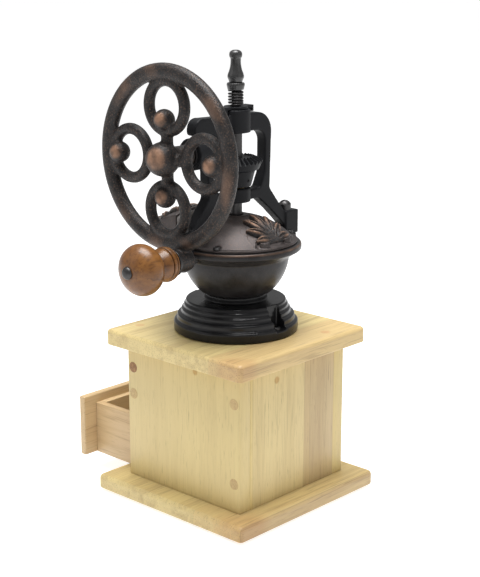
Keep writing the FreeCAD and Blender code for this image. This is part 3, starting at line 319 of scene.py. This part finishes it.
# glued strips: where each starts and ends along the axis, and its tint
back_strips = [(0.047, 0.0705, (0.97, 0.95, 0.90)), (-0.0135, 0.047, (1.0, 1.0, 1.04)),
               (-0.0205, -0.0135, (0.84, 0.78, 0.82)), (-0.0705, -0.0205, (0.80, 0.75, 0.82))]
back_wood = wood("back_wood", CREAM, CREAM_DARK, "Z", (2.1, 0.4, 0.2), 0.50, strips=("X", back_strips),
                 patches=[(from_corner("back_panel", -0.0304, 0, -0.0129), 0.0048, KNOT_TINT)])
rail_wood = wood("rail_wood", CREAM, CREAM_DARK, "X", (1.1, 2.4, 0.2), 0.5)
top_wood = wood("top_wood", CREAM, CREAM_DARK, "X", (0.7, 1.3, 0.9), 0.80,
                strips=("Y", [(0.041, 0.2, (0.93, 0.86, 0.86)), (-0.02, 0.041, (1.0, 1.0, 1.0))]),
                patches=[(from_corner("top_plate", 0.0005, -0.0045, -0.0044), 0.034, (0.90, 0.82, 0.80)),
                         (from_corner("top_plate", -0.026, -0.136, 0), PLUG_PATCH, PLUG_TINT),
                         (from_corner("top_plate", -0.1132, -0.0131, 0), PLUG_PATCH, PLUG_TINT)])
base_wood = wood("base_wood", CREAM, CREAM_DARK, "X", (5.7, 0.3, 0.4), 0.85,
                 strips=("Y", [(0.0795, 0.2, (0.86, 0.80, 0.86)), (0.03, 0.0795, (0.98, 0.94, 0.93))]),
                 patches=[(from_corner("base_plate", -0.003, 0.004, -0.0024), 0.050, (0.90, 0.80, 0.76))])
drawer_front_wood = wood("drawer_front_wood", TAN, TAN_DARK, "X", (0.2, 3.3, 0.4), 0.7)
drawer_wood = wood("drawer_wood", TAN, TAN_DARK, "Y", (3.2, 0.3, 0.4), 0.55)
drawer_cross_wood = wood("drawer_cross_wood", TAN, TAN_DARK, "X", (7.2, 1.3, 0.4), 0.55)
dowel_dark = end_grain("dowel_dark", (0.36, 0.20, 0.09), (0.20, 0.10, 0.045))
dowel_light = end_grain("dowel_light", (0.56, 0.42, 0.20), (0.44, 0.30, 0.14))
knob_wood = varnished("knob_wood", (0.215, 0.088, 0.018), (0.105, 0.038, 0.009), (0, 0.02, 0.05))
bronze = cast_metal("bronze_cast", BRONZE, COPPER, 0.40, 0.75, specular=0.3, bumpiness=0.0022)
# lighter copy of the cast bronze for the dome; its raised base colour is partly a painted sheen
bronze_dome_with_sheen = cast_metal("bronze_dome_with_sheen", DOME_BROWN_AND_SHEEN, COPPER, 0.47, 0.45, 0.7, grain=1000.0,
                         bumpiness=0.0004)
bronze_bowl = cast_metal("bronze_bowl", BRONZE, COPPER, 0.36, 0.16, specular=0.25, grain=1400.0)
frame_black = enamel("frame_black", (0.0062, 0.0064, 0.0074), 0.40, 0.0, 0.12, 0.25)
finial_black = enamel("finial_black", (0.016, 0.0155, 0.0155), 0.24, 0.3, 0.4, 0.15)
pedestal_black = enamel("pedestal_black", (0.0050, 0.0050, 0.0056), 0.26, 0.25, 0.15, 0.10)
dark_steel = metal("dark_steel", (0.060, 0.058, 0.058), 0.38)
bright_steel = metal("bright_steel", (0.46, 0.46, 0.47), 0.30)
spring_steel = metal("spring_steel", (0.045, 0.043, 0.043), 0.32)
brass = metal("bush_brass", (0.62, 0.44, 0.17), 0.30)
burr_iron = cast_metal("burr_iron", (0.11, 0.105, 0.10), (0.25, 0.24, 0.23), 0.5, 0.3, 0.8)
felt_black = felt("felt_black", (0.035, 0.035, 0.038))


# ---- mesh helpers ----
def add_object(name, mesh, material, body, *nodes, smooth_angle=35):
    """Links a finished mesh, gives it a material and a body, and lets it stand for CAD nodes."""
    made = bpy.data.objects.new(name, mesh)
    bpy.context.collection.objects.link(made)
    mesh.materials.clear()
    mesh.materials.append(material)
    bpy.ops.object.select_all(action="DESELECT")
    made.select_set(True)
    bpy.context.view_layer.objects.active = made
    bpy.ops.object.shade_smooth_by_angle(angle=math.radians(smooth_angle))
    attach(made, body)
    if nodes:
        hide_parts(*nodes)
    return made


def grid_mesh(name, rings, closed_ring=True, capped=False):
    """Mesh through rows of points; each row joins the next."""
    mesh = bpy.data.meshes.new(name)
    bm = bmesh.new()
    rows = [[bm.verts.new(point) for point in ring] for ring in rings]
    count = len(rows[0])
    last = count if closed_ring else count - 1
    for low, high in zip(rows, rows[1:]):
        for index in range(last):
            following = (index + 1) % count
            bm.faces.new((low[index], low[following], high[following], high[index]))
    if capped:
        bm.faces.new(list(reversed(rows[0])))
        bm.faces.new(rows[-1])
    bmesh.ops.remove_doubles(bm, verts=bm.verts, dist=1e-7)
    bmesh.ops.recalc_face_normals(bm, faces=bm.faces)
    bm.to_mesh(mesh)
    bm.free()
    return mesh


def rounded_profile(corners, steps=5):
    """(radius, height, rounding) corners turned into a smooth run of (radius, height) points."""
    points = []
    for index, (radius, height, rounding) in enumerate(corners):
        corner = Vector((radius, height))
        if rounding <= 0 or index in (0, len(corners) - 1):
            points.append(corner)
            continue
        before = Vector(corners[index - 1][:2]) - corner
        after = Vector(corners[index + 1][:2]) - corner
        reach = min(rounding, 0.49 * before.length, 0.49 * after.length)
        start = corner + before.normalized() * reach
        end = corner + after.normalized() * reach
        for step in range(steps + 1):
            t = step / steps
            points.append(start * (1 - t) ** 2 + corner * 2 * t * (1 - t) + end * t ** 2)
    return points


def lathe(name, points, centre, axis="Z", segments=128):
    """Turns (radius, height) points about an axis; heights count from centre."""
    rings = []
    for radius, height in points:
        ring = []
        for index in range(segments):
            angle = 2 * math.pi * index / segments
            a, b = radius * math.cos(angle), radius * math.sin(angle)
            local = Vector((a, b, height)) if axis == "Z" else Vector((height, a, b))
            ring.append(Vector(centre) + local)
        rings.append(ring)
    return grid_mesh(name, rings)


def set_wear(mesh, weight):
    """Stores weight(position, normal) on each vertex as the wear attribute."""
    layer = mesh.attributes.new("wear", "FLOAT", "POINT")
    for vertex in mesh.vertices:
        layer.data[vertex.index].value = max(0.0, min(1.0, weight(vertex.co, vertex.normal)))


def smooth_step(low, high, value):
    t = max(0.0, min(1.0, (value - low) / (high - low)))
    return t * t * (3 - 2 * t)


def cast_copy(name, nodes, voxel, smoothing, factor=0.5):
    """A softened copy of CAD nodes: their corners and joints become cast fillets."""
    bm = bmesh.new()
    for node in nodes:
        bm.from_mesh(NODES[node].data)
    bmesh.ops.remove_doubles(bm, verts=bm.verts, dist=1e-6)
    mesh = bpy.data.meshes.new(name)
    bm.to_mesh(mesh)
    bm.free()
    source = bpy.data.objects.new(name + "_source", mesh)
    bpy.context.collection.objects.link(source)
    remesh = source.modifiers.new("remesh", "REMESH")
    remesh.mode = "VOXEL"
    remesh.voxel_size = voxel
    smooth = source.modifiers.new("smooth", "SMOOTH")
    smooth.iterations = smoothing
    smooth.factor = factor
    depsgraph = bpy.context.evaluated_depsgraph_get()
    result = bpy.data.meshes.new_from_object(source.evaluated_get(depsgraph))
    bpy.data.objects.remove(source)
    result.name = name
    return result


def node_islands(node):
    """Corner boxes of a CAD node's separate solids."""
    bm = bmesh.new()
    bm.from_mesh(NODES[node].data)
    bmesh.ops.remove_doubles(bm, verts=bm.verts, dist=1e-6)
    seen = set()
    boxes = []
    for start in bm.verts:
        if start in seen:
            continue
        queue = [start]
        seen.add(start)
        points = []
        while queue:
            vertex = queue.pop()
            points.append(vertex.co.copy())
            for edge in vertex.link_edges:
                other = edge.other_vert(vertex)
                if other not in seen:
                    seen.add(other)
                    queue.append(other)
        boxes.append((Vector(min(p[i] for p in points) for i in range(3)),
                      Vector(max(p[i] for p in points) for i in range(3))))
    bm.free()
    return sorted(boxes, key=lambda pair: tuple(pair[0]))


def eased_board(name, node, material, body, easing=0.0007):
    """A board with its sharp arrises taken off."""
    low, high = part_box(node)
    bm = bmesh.new()
    bmesh.ops.create_cube(bm, size=1.0)
    for vertex in bm.verts:
        for index in range(3):
            vertex.co[index] = low[index] if vertex.co[index] < 0 else high[index]
    bmesh.ops.bevel(bm, geom=bm.edges[:], offset=easing, segments=3, profile=0.5, affect="EDGES")
    mesh = bpy.data.meshes.new(name)
    bm.to_mesh(mesh)
    bm.free()
    return add_object(name, mesh, material, body, node)


# ---- wooden box and drawer ----
def make_box():
    eased_board("right_side_board", "side_panel_right", side_wood, "stand")
    eased_board("left_side_board", "side_panel_left", side_wood, "stand")
    eased_board("back_board", "back_panel", back_wood, "stand", 0.0003)
    eased_board("front_rail_board", "front_rail", rail_wood, "stand")


PLUG_PROUD = 0.00016
PLUG_DEPTH = 0.004
DARK_PLUG_ABOVE = 0.105    # the plugs above this height are of dark wood


def make_dowel_ends():
    """Round plug ends standing a hair proud of the side boards."""
    for index, (low, high) in enumerate(node_islands("dowels")):
        centre = (low + high) / 2
        side = 1 if centre.x > 0 else -1
        radius = (high.z - low.z) / 2
        face = max(abs(low.x), abs(high.x))
        outline = rounded_profile([(0, PLUG_PROUD, 0), (radius, PLUG_PROUD, 0.0004),
                                   (radius, -PLUG_DEPTH, 0)])
        mesh = lathe("dowel_end", outline, (0, 0, 0), "X", 48)
        for vertex in mesh.vertices:
            vertex.co.x *= side
            vertex.co += Vector((side * face, centre.y, centre.z))
        if side < 0:
            mesh.flip_normals()
        material = dowel_dark if centre.z > DARK_PLUG_ABOVE else dowel_light
        add_object("dowel_end_%d" % index, mesh, material, "stand", "dowels")


def make_drawer():
    eased_board("drawer_face_board", "drawer_front", drawer_front_wood, "drawer", 0.0012)
    for side in ("left", "right"):
        eased_board("drawer_%s_board" % side, "drawer_side_" + side, drawer_wood, "drawer")
    eased_board("drawer_inner_board", "drawer_inner_front", drawer_cross_wood, "drawer", 0.0005)
    eased_board("drawer_back_board", "drawer_back", drawer_cross_wood, "drawer", 0.0005)


# ---- cast parts ----
def make_pedestal():
    mesh = cast_copy("pedestal_casting", ["pedestal"], 0.0006, 4)
    add_object("pedestal_casting", mesh, pedestal_black, "stand", "pedestal", smooth_angle=180)


def make_bowl():
    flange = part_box("hopper_bowl")[1].z
    mesh = cast_copy("hopper_casting", ["hopper_bowl"], 0.0008, 6)

    def weight(place, normal):
        radius = math.hypot(place.x, place.y)
        edge = smooth_step(0.0509, 0.0518, radius) * smooth_step(flange - 0.0022, flange - 0.0009, place.z)
        return edge * (0.35 + 0.35 * noise.noise(place * 120))

    set_wear(mesh, weight)
    add_object("hopper_casting", mesh, bronze_bowl, "stand", "hopper_bowl", smooth_angle=180)


LEAF_FOOT = 0.0426        # leaf's foot from the mill's axis
LEAF_SPREAD = math.radians(68)
LEAF_LOBES = 7
LEAF_LENGTH = 0.0285
LEAF_HEIGHT = 0.0042
LEAF_STEP = 0.00026
LEAF_CLEAR = 0.0454       # cover's raised rim starts here
LEAF_FIELD = (0.0212, 0.0118, 0.0470)    # half width, nearest and furthest reach in plan
LEAF_BELOW = -0.0006      # height given to places outside every lobe
LEAF_EDGE = -0.0005       # anything lower is left out


def lobe_shape(swing):
    """Length and greatest half width of the lobe at this swing from the leaf's middle line."""
    length = LEAF_LENGTH * (0.56 + 0.44 * math.cos(1.15 * swing))
    return length, 0.0033 + 0.0011 * math.cos(swing)


def leaf_relief(across, y):
    """Height and rub of the cast leaf at a place in plan, with the leaf on the +Y side."""
    inward = LEAF_FOOT - y
    best, rub = LEAF_BELOW, 0.0
    for index in range(LEAF_LOBES):
        swing = LEAF_SPREAD * (2 * index / (LEAF_LOBES - 1) - 1)
        length, half_width = lobe_shape(swing)
        along = across * math.sin(swing) + inward * math.cos(swing)
        share = along / length
        if not 0.0 < share < 1.0:
            continue
        curl = 0.0022 * math.sin(swing) * share * share
        side = across * math.cos(swing) - inward * math.sin(swing) - curl
        width = half_width * (0.30 + 0.70 * math.sin(math.pi * share ** 1.25)) * (1 - share ** 7) ** 0.5
        offset = abs(side) / max(width, 1e-6)
        if offset >= 1.0:
            continue
        crown = (1 - offset ** 2.2) ** 0.7
        rise = 0.30 + 0.70 * smooth_step(0.0, 0.72, share)
        groove = 0.34 * math.exp(-(side / 0.00055) ** 2) * smooth_step(0.15, 0.35, share)
        height = LEAF_HEIGHT * (rise * crown - groove * rise)
        if height > best:
            best = height
            rub = smooth_step(0.35, 0.75, share) * math.exp(-((offset - 0.42) / 0.17) ** 2) * 0.85
    return best, rub


def leaf_patch(name, centre, radius, direction, shift, body):
    """Finely modelled leaf lying on the cover's sphere."""
    half_across, near, far = LEAF_FIELD
    beside = ((LEAF_STEP, 0), (-LEAF_STEP, 0), (0, LEAF_STEP), (0, -LEAF_STEP))
    columns = int(2 * half_across / LEAF_STEP)
    rows = int((far - near) / LEAF_STEP)
    bm = bmesh.new()
    points = {}
    rubs = []
    for row in range(rows + 1):
        for column in range(columns + 1):
            x = -half_across + column * LEAF_STEP
            y = near + row * LEAF_STEP
            height, rub = leaf_relief(x, y)
            if height <= LEAF_EDGE and all(leaf_relief(x + dx, y + dy)[0] <= LEAF_EDGE for dx, dy in beside):
                continue
            sphere = math.sqrt(radius ** 2 - x * x - y * y)
            outward = Vector((x, y, sphere)).normalized() * (radius + height)
            place = Vector((outward.x * direction, outward.y * direction + shift, outward.z)) + centre
            points[row, column] = bm.verts.new(place)
            rubs.append(rub)
    for row, column in list(points):
        keys = ((row, column), (row, column + 1), (row + 1, column + 1), (row + 1, column))
        corners = [points.get(key) for key in keys]
        if all(corners):
            bm.faces.new(corners)
    bmesh.ops.recalc_face_normals(bm, faces=bm.faces)
    mesh = bpy.data.meshes.new(name)
    bm.to_mesh(mesh)
    bm.free()
    layer = mesh.attributes.new("wear", "FLOAT", "POINT")
    layer.data.foreach_set("value", rubs)
    return add_object(name, mesh, bronze, body, smooth_angle=180)


def flatten_leaf(mesh, centre, radius, shift):
    """Takes the coarse leaf off a cover, down to the plain sphere."""
    middle = centre + Vector((0, shift, 0))
    for vertex in mesh.vertices:
        offset = vertex.co - middle
        raised = offset.length > radius + 0.0003
        if raised and math.hypot(offset.x, offset.y) < LEAF_CLEAR:
            vertex.co = middle + offset.normalized() * radius
    set_wear(mesh, lambda place, normal: 0.0)


DOME_RISE = 0.0215        # from the flange to the flat on top
DOME_REACH = 0.048
DOME_FLAT = 0.008
DOOR_REACH = 0.049        # from the door's own middle to its outer edge


def dome_sphere():
    """Centre and radius of the sphere that the dome is part of."""
    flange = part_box("hopper_bowl")[1].z
    below = (DOME_REACH ** 2 - DOME_FLAT ** 2 - DOME_RISE ** 2) / (2 * DOME_RISE)
    return Vector((0, 0, flange - below)), math.hypot(DOME_REACH, below)


def make_dome():
    centre, radius = dome_sphere()
    door_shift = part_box("hopper_door")[0].y + DOOR_REACH
    dome = cast_copy("dome_casting", ["dome_cover"], 0.0006, 3)
    flatten_leaf(dome, centre, radius, 0.0)
    add_object("dome_casting", dome, bronze_dome_with_sheen, "stand", "dome_cover", smooth_angle=180)
    leaf_patch("dome_leaf", centre, radius, 1, 0.0, "stand")
    door = cast_copy("door_casting", ["hopper_door"], 0.0006, 3)
    flatten_leaf(door, centre, radius, door_shift)
    add_object("door_casting", door, bronze_dome_with_sheen, "filler_door", "hopper_door", smooth_angle=180)
    leaf_patch("door_leaf", centre, radius, -1, door_shift, "filler_door")


def make_frame():
    mesh = cast_copy("frame_casting", ["yoke_frame"], 0.00065, 7)
    add_object("frame_casting", mesh, frame_black, "stand", "yoke_frame", smooth_angle=180)


HUB_BALL = (0.079, 0.0132)         # place along X and radius
SCROLL_BALL = (0.077, 0.0084)
SCROLL_BALLS = ((0.0495, 0), (-0.0495, 0), (0, 0.029), (0, -0.029))    # Y and Z from the hub
RUB_SIDE = Vector((0.93, 0.22, 0.15)).normalized()    # the side of a ball that hands rub


def make_wheel():
    low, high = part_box("crank_shaft")
    hub_z = (low.z + high.z) / 2
    mesh = cast_copy("wheel_casting", ["hand_wheel"], 0.0009, 9, 0.55)
    balls = [(Vector((HUB_BALL[0], 0, hub_z)), HUB_BALL[1])]
    balls += [(Vector((SCROLL_BALL[0], y, hub_z + z)), SCROLL_BALL[1]) for y, z in SCROLL_BALLS]

    def weight(place, normal):
        rub = 0.0
        for ball, size in balls:
            if (place - ball).length < size * 1.12:
                toward = (place - ball).normalized().dot(RUB_SIDE)
                rub = max(rub, smooth_step(0.66, 0.98, toward))
        from_hub = math.hypot(place.y, place.z - hub_z)
        patches = smooth_step(0.12, 0.42, noise.noise(place * 38 + Vector((3, 1, 2))))
        front = smooth_step(0.3, 0.95, normal.x) * smooth_step(0.058, 0.0645, from_hub)
        mottle = 0.55 + 0.45 * smooth_step(-0.2, 0.3, noise.noise(place * 210))
        return max(rub * mottle, front * patches * 0.30)

    set_wear(mesh, weight)
    add_object("wheel_casting", mesh, bronze, "crank", "hand_wheel", smooth_angle=180)


# ---- handle ----
SPINDLE_HOLE = 0.00305     # radius of the bore in the knob
FERRULE_HOLE = 0.00302
COLLAR_RADIUS = 0.0132
NECK_END = 0.0170          # where the bulb takes over from the neck
BULB_MIDDLE = 0.1166       # along X
BULB_HALF_LENGTH = 0.0142
BULB_LAST_ANGLE = 0.30
BULB_STEPS = 40
KNOB_GROOVES = (0.0046, 0.0084)
KNOB_NECK = 0.0158


def handle_axis():
    """The middle of the knob's box, which is on the handle's axis."""
    low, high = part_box("handle_knob")
    return (low + high) / 2


def make_handle():
    low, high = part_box("handle_knob")
    axis = handle_axis()
    start, length = low.x, high.x - low.x
    bulb_radius = (high.z - low.z) / 2
    collar = COLLAR_RADIUS
    corners = [(SPINDLE_HOLE, 0, 0), (0.0094, 0, 0.0008), (0.0116, 0.0016, 0.002),
               (collar - 0.0004, 0.0034, 0.001), (collar - 0.0004, 0.0040, 0.0004),
               (collar - 0.0016, 0.0046, 0.0004), (collar, 0.0052, 0.0004),
               (collar + 0.0002, 0.0064, 0.001), (collar, 0.0078, 0.0004),
               (collar - 0.0016, 0.0084, 0.0004), (collar - 0.0004, 0.0090, 0.0004),
               (collar - 0.0006, 0.0100, 0.001), (0.0112, 0.0126, 0.002),
               (0.0097, 0.0150, 0.0018)]
    points = rounded_profile(corners + [(0.0097, 0.0156, 0)])
    bulb_centre = BULB_MIDDLE - start
    first = math.acos((NECK_END - bulb_centre) / BULB_HALF_LENGTH)
    for index in range(BULB_STEPS + 1):
        angle = first + (BULB_LAST_ANGLE - first) * index / BULB_STEPS
        points.append(Vector((bulb_radius * math.sin(angle) ** 0.94,
                              bulb_centre + BULB_HALF_LENGTH * math.cos(angle))))
    points[-1].y = min(points[-1].y, length)
    points.append(Vector((SPINDLE_HOLE, points[-1].y)))
    mesh = lathe("turned_knob", points, (start, axis.y, axis.z), "X", 128)
    grooves = [start + groove for groove in KNOB_GROOVES]

    # on the knob the wear attribute marks the grooves and the neck, which its material colours darker
    def weight(place, normal):
        groove = max(smooth_step(0.0007, 0.0002, abs(place.x - groove)) for groove in grooves)
        neck = smooth_step(0.0016, 0.0004, abs(place.x - start - KNOB_NECK)) * 0.6
        return max(groove, neck)

    set_wear(mesh, weight)
    add_object("turned_knob", mesh, knob_wood, "knob", "handle_knob", smooth_angle=60)


def make_cap():
    axis = handle_axis()
    low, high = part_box("knob_cap")
    radius = (high.z - low.z) / 2
    length = high.x - low.x
    corners = [(0, length, 0), (0.45 * radius, length * 0.985, 0.001), (0.85 * radius, length * 0.62, 0.0015),
               (radius, length * 0.16, 0.0008), (radius, 0, 0)]
    mesh = lathe("cap_dome", rounded_profile(corners), (low.x, axis.y, axis.z), "X", 64)
    add_object("cap_dome", mesh, dark_steel, "crank", "knob_cap", smooth_angle=60)


def make_ferrule():
    axis = handle_axis()
    low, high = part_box("handle_ferrule")
    radius = (high.z - low.z) / 2
    length = high.x - low.x
    corners = [(FERRULE_HOLE, 0, 0), (radius, 0, 0.0006), (radius, length, 0.0006), (FERRULE_HOLE, length, 0)]
    mesh = lathe("ferrule_ring", rounded_profile(corners), (low.x, axis.y, axis.z), "X", 96)
    add_object("ferrule_ring", mesh, dark_steel, "crank", "handle_ferrule", smooth_angle=50)


# ---- grind adjuster ----
THREAD_PITCH = 0.00125
THREAD_DEPTH = 0.0006
THREAD_SEGMENTS = 48
ROWS_PER_PITCH = 8


def make_thread():
    low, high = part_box("adjusting_screw")
    radius = (high.x - low.x) / 2
    rows = int((high.z - low.z) / (THREAD_PITCH / ROWS_PER_PITCH))
    rings = [[Vector((0, 0, low.z))] * THREAD_SEGMENTS]
    for row in range(rows + 1):
        z = low.z + (high.z - low.z) * row / rows
        ring = []
        for index in range(THREAD_SEGMENTS):
            angle = 2 * math.pi * index / THREAD_SEGMENTS
            phase = (z / THREAD_PITCH - index / THREAD_SEGMENTS) % 1.0
            depth = THREAD_DEPTH * abs(2 * phase - 1)
            ring.append(Vector(((radius - depth) * math.cos(angle), (radius - depth) * math.sin(angle), z)))
        rings.append(ring)
    rings.append([Vector((0, 0, high.z))] * THREAD_SEGMENTS)
    mesh = grid_mesh("threaded_rod", rings)
    add_object("threaded_rod", mesh, dark_steel, "adjuster", "adjusting_screw", smooth_angle=60)


WIRE_RADIUS = 0.00085
WIRE_SEGMENTS = 14
SPRING_TURNS = 5.0
CLOSED_TURNS = 0.6         # at each end
STEPS_PER_TURN = 40
SPRING_GAP = 0.0001        # between the spring and what it bears on


def make_spring():
    low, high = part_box("adjuster_spring")
    coil = (high.x - low.x) / 2 - WIRE_RADIUS
    bottom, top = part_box("lock_plate")[1].z + SPRING_GAP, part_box("spring_collar")[0].z - SPRING_GAP
    close_pitch = 2 * WIRE_RADIUS * 1.02
    free = top - bottom - 2 * WIRE_RADIUS - 2 * CLOSED_TURNS * close_pitch
    rings = []
    for index in range(int(SPRING_TURNS * STEPS_PER_TURN) + 1):
        turn = index / STEPS_PER_TURN
        if turn < CLOSED_TURNS:
            z = turn / CLOSED_TURNS * close_pitch
        elif turn > SPRING_TURNS - CLOSED_TURNS:
            closing = (turn - SPRING_TURNS + CLOSED_TURNS) / CLOSED_TURNS
            z = close_pitch * CLOSED_TURNS + free + closing * close_pitch
        else:
            z = close_pitch * CLOSED_TURNS + free * (turn - CLOSED_TURNS) / (SPRING_TURNS - 2 * CLOSED_TURNS)
        angle = 2 * math.pi * turn
        outward = Vector((math.cos(angle), math.sin(angle), 0))
        point = outward * coil + Vector((0, 0, bottom + WIRE_RADIUS + z))
        round_wire = [2 * math.pi * step / WIRE_SEGMENTS for step in range(WIRE_SEGMENTS)]
        rings.append([point + outward * WIRE_RADIUS * math.cos(t) + Vector((0, 0, WIRE_RADIUS * math.sin(t)))
                      for t in round_wire])
    mesh = grid_mesh("coil_spring", rings, capped=True)
    spring = add_object("coil_spring", mesh, spring_steel, "lock", "adjuster_spring", smooth_angle=60)
    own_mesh(spring)


FINIAL_PROFILE = [         # radius, drop below the tip and rounding, in millimetres
    (0, 25.1, 0), (5.0, 25.1, 0.4), (5.7, 22.8, 1.0), (6.6, 20.9, 1.4), (6.2, 18.6, 1.6),
    (4.9, 15.4, 2.5), (4.1, 11.5, 2.5), (4.0, 8.0, 2.0), (4.1, 6.4, 0.6), (4.9, 5.5, 0.7),
    (5.15, 3.6, 1.4), (4.7, 1.6, 1.4), (2.6, 0.1, 1.4), (0, 0, 0),
]


def make_finial():
    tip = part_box("finial_nut")[1].z
    points = rounded_profile([(radius * MM, tip - drop * MM, rounding * MM)
                              for radius, drop, rounding in FINIAL_PROFILE])
    mesh = lathe("finial_knob", points, (0, 0, 0), "Z", 96)
    add_object("finial_knob", mesh, finial_black, "adjuster", "finial_nut", smooth_angle=50)


def make_spring_cup():
    low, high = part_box("spring_collar")
    corners = [(0.0037, low.z, 0), (0.0063, low.z, 0.0004), (0.0067, low.z + 0.0016, 0.0006),
               (0.0072, high.z - 0.0014, 0.0009), (0.0066, high.z, 0.0006), (0.0037, high.z, 0)]
    mesh = lathe("spring_cup", rounded_profile(corners), (0, 0, 0), "Z", 96)
    add_object("spring_cup", mesh, finial_black, "adjuster", "spring_collar", smooth_angle=50)


def make_lock():
    mesh = cast_copy("lock_spring_plate", ["lock_plate"], 0.0003, 3)
    add_object("lock_spring_plate", mesh, frame_black, "lock", "lock_plate", smooth_angle=180)


# ---- CAD nodes that keep their shape ----
KEPT = {
    felt_black: ["base_felt"],
    top_wood: ["top_plate"],
    base_wood: ["base_plate"],
    drawer_wood: ["drawer_bottom"],
    knob_wood: ["drawer_knob"],
    frame_black: ["crown_gear", "crown_pin", "bevel_pinion", "pinion_pin"],
    dark_steel: ["pedestal_screws", "bowl_screws", "dome_screws", "frame_bolts", "frame_nuts", "main_shaft",
                 "crank_shaft", "crank_washer", "wheel_set_screw", "knob_spindle"],
    bright_steel: ["burr_nut", "drawer_knob_screw"],
    brass: ["upper_bush", "lower_bush", "crank_bush"],
    burr_iron: ["outer_burr", "inner_burr"],
}


def dress_kept_nodes():
    for material, names in KEPT.items():
        for name in names:
            for slot in NODES[name].material_slots:
                slot.link = "OBJECT"
                slot.material = material


# ---- studio ----
FLOOR_GLOW = 0.76
FLOOR_REACH = 14.0
FLOOR_DROP = 0.0002        # keeps the floor just clear of the felt
WORLD_LIGHT = 0.40
AIM = Vector((0.0, 0.0, 0.19))
LIGHTS = [  # name, place, size, power
    ("key_left", (0.95, -0.60, 0.85), 0.9, 1.5),
    ("top_soft", (0.05, 0.0, 1.30), 0.8, 25.0),
    ("fill_right", (-0.35, 1.25, 0.55), 0.9, 1.0),
]


def make_floor():
    shader = Shader("studio_floor", roughness=0.9, specular=0.1)
    haze = shader.noise(shader.mapped(), 2.0, 2.0)
    shader.link(shader.grey_ramp(haze, (0.3, 0.59), (0.7, 0.61)), "Base Color")
    shader.set("Emission Color", (1, 1, 1, 1))
    shader.set("Emission Strength", FLOOR_GLOW)
    mesh = bpy.data.meshes.new("studio_floor")
    reach = FLOOR_REACH
    mesh.from_pydata([(-reach, -reach, 0), (reach, -reach, 0), (reach, reach, 0), (-reach, reach, 0)], [],
                     [(0, 1, 2, 3)])
    floor = bpy.data.objects.new("studio_floor", mesh)
    bpy.context.collection.objects.link(floor)
    mesh.materials.append(shader.material)
    floor.location.z = -FLOOR_DROP


def make_studio():
    make_floor()
    world = bpy.data.worlds.new("studio")
    bpy.context.scene.world = world
    world.use_nodes = True
    tree = world.node_tree
    background = tree.nodes["Background"]
    seen = tree.nodes.new("ShaderNodeLightPath").outputs["Is Camera Ray"]
    mix = tree.nodes.new("ShaderNodeMapRange")
    mix.inputs["To Min"].default_value = WORLD_LIGHT
    mix.inputs["To Max"].default_value = 1.0
    tree.links.new(seen, mix.inputs["Value"])
    tree.links.new(mix.outputs["Result"], background.inputs["Strength"])
    background.inputs["Color"].default_value = (1, 1, 1, 1)
    for name, place, size, power in LIGHTS:
        data = bpy.data.lights.new(name, "AREA")
        data.size = size
        data.energy = power
        lamp = bpy.data.objects.new(name, data)
        bpy.context.collection.objects.link(lamp)
        lamp.location = place
        lamp.rotation_mode = "QUATERNION"
        lamp.rotation_quaternion = (AIM - Vector(place)).to_track_quat("-Z", "Y")
    bpy.context.scene.view_settings.view_transform = "Standard"


make_camera()
make_box()
make_dowel_ends()
make_drawer()
make_pedestal()
make_bowl()
make_dome()
make_frame()
make_wheel()
make_handle()
make_cap()
make_ferrule()
make_thread()
make_spring()
make_lock()
make_finial()
make_spring_cup()
dress_kept_nodes()
make_studio()
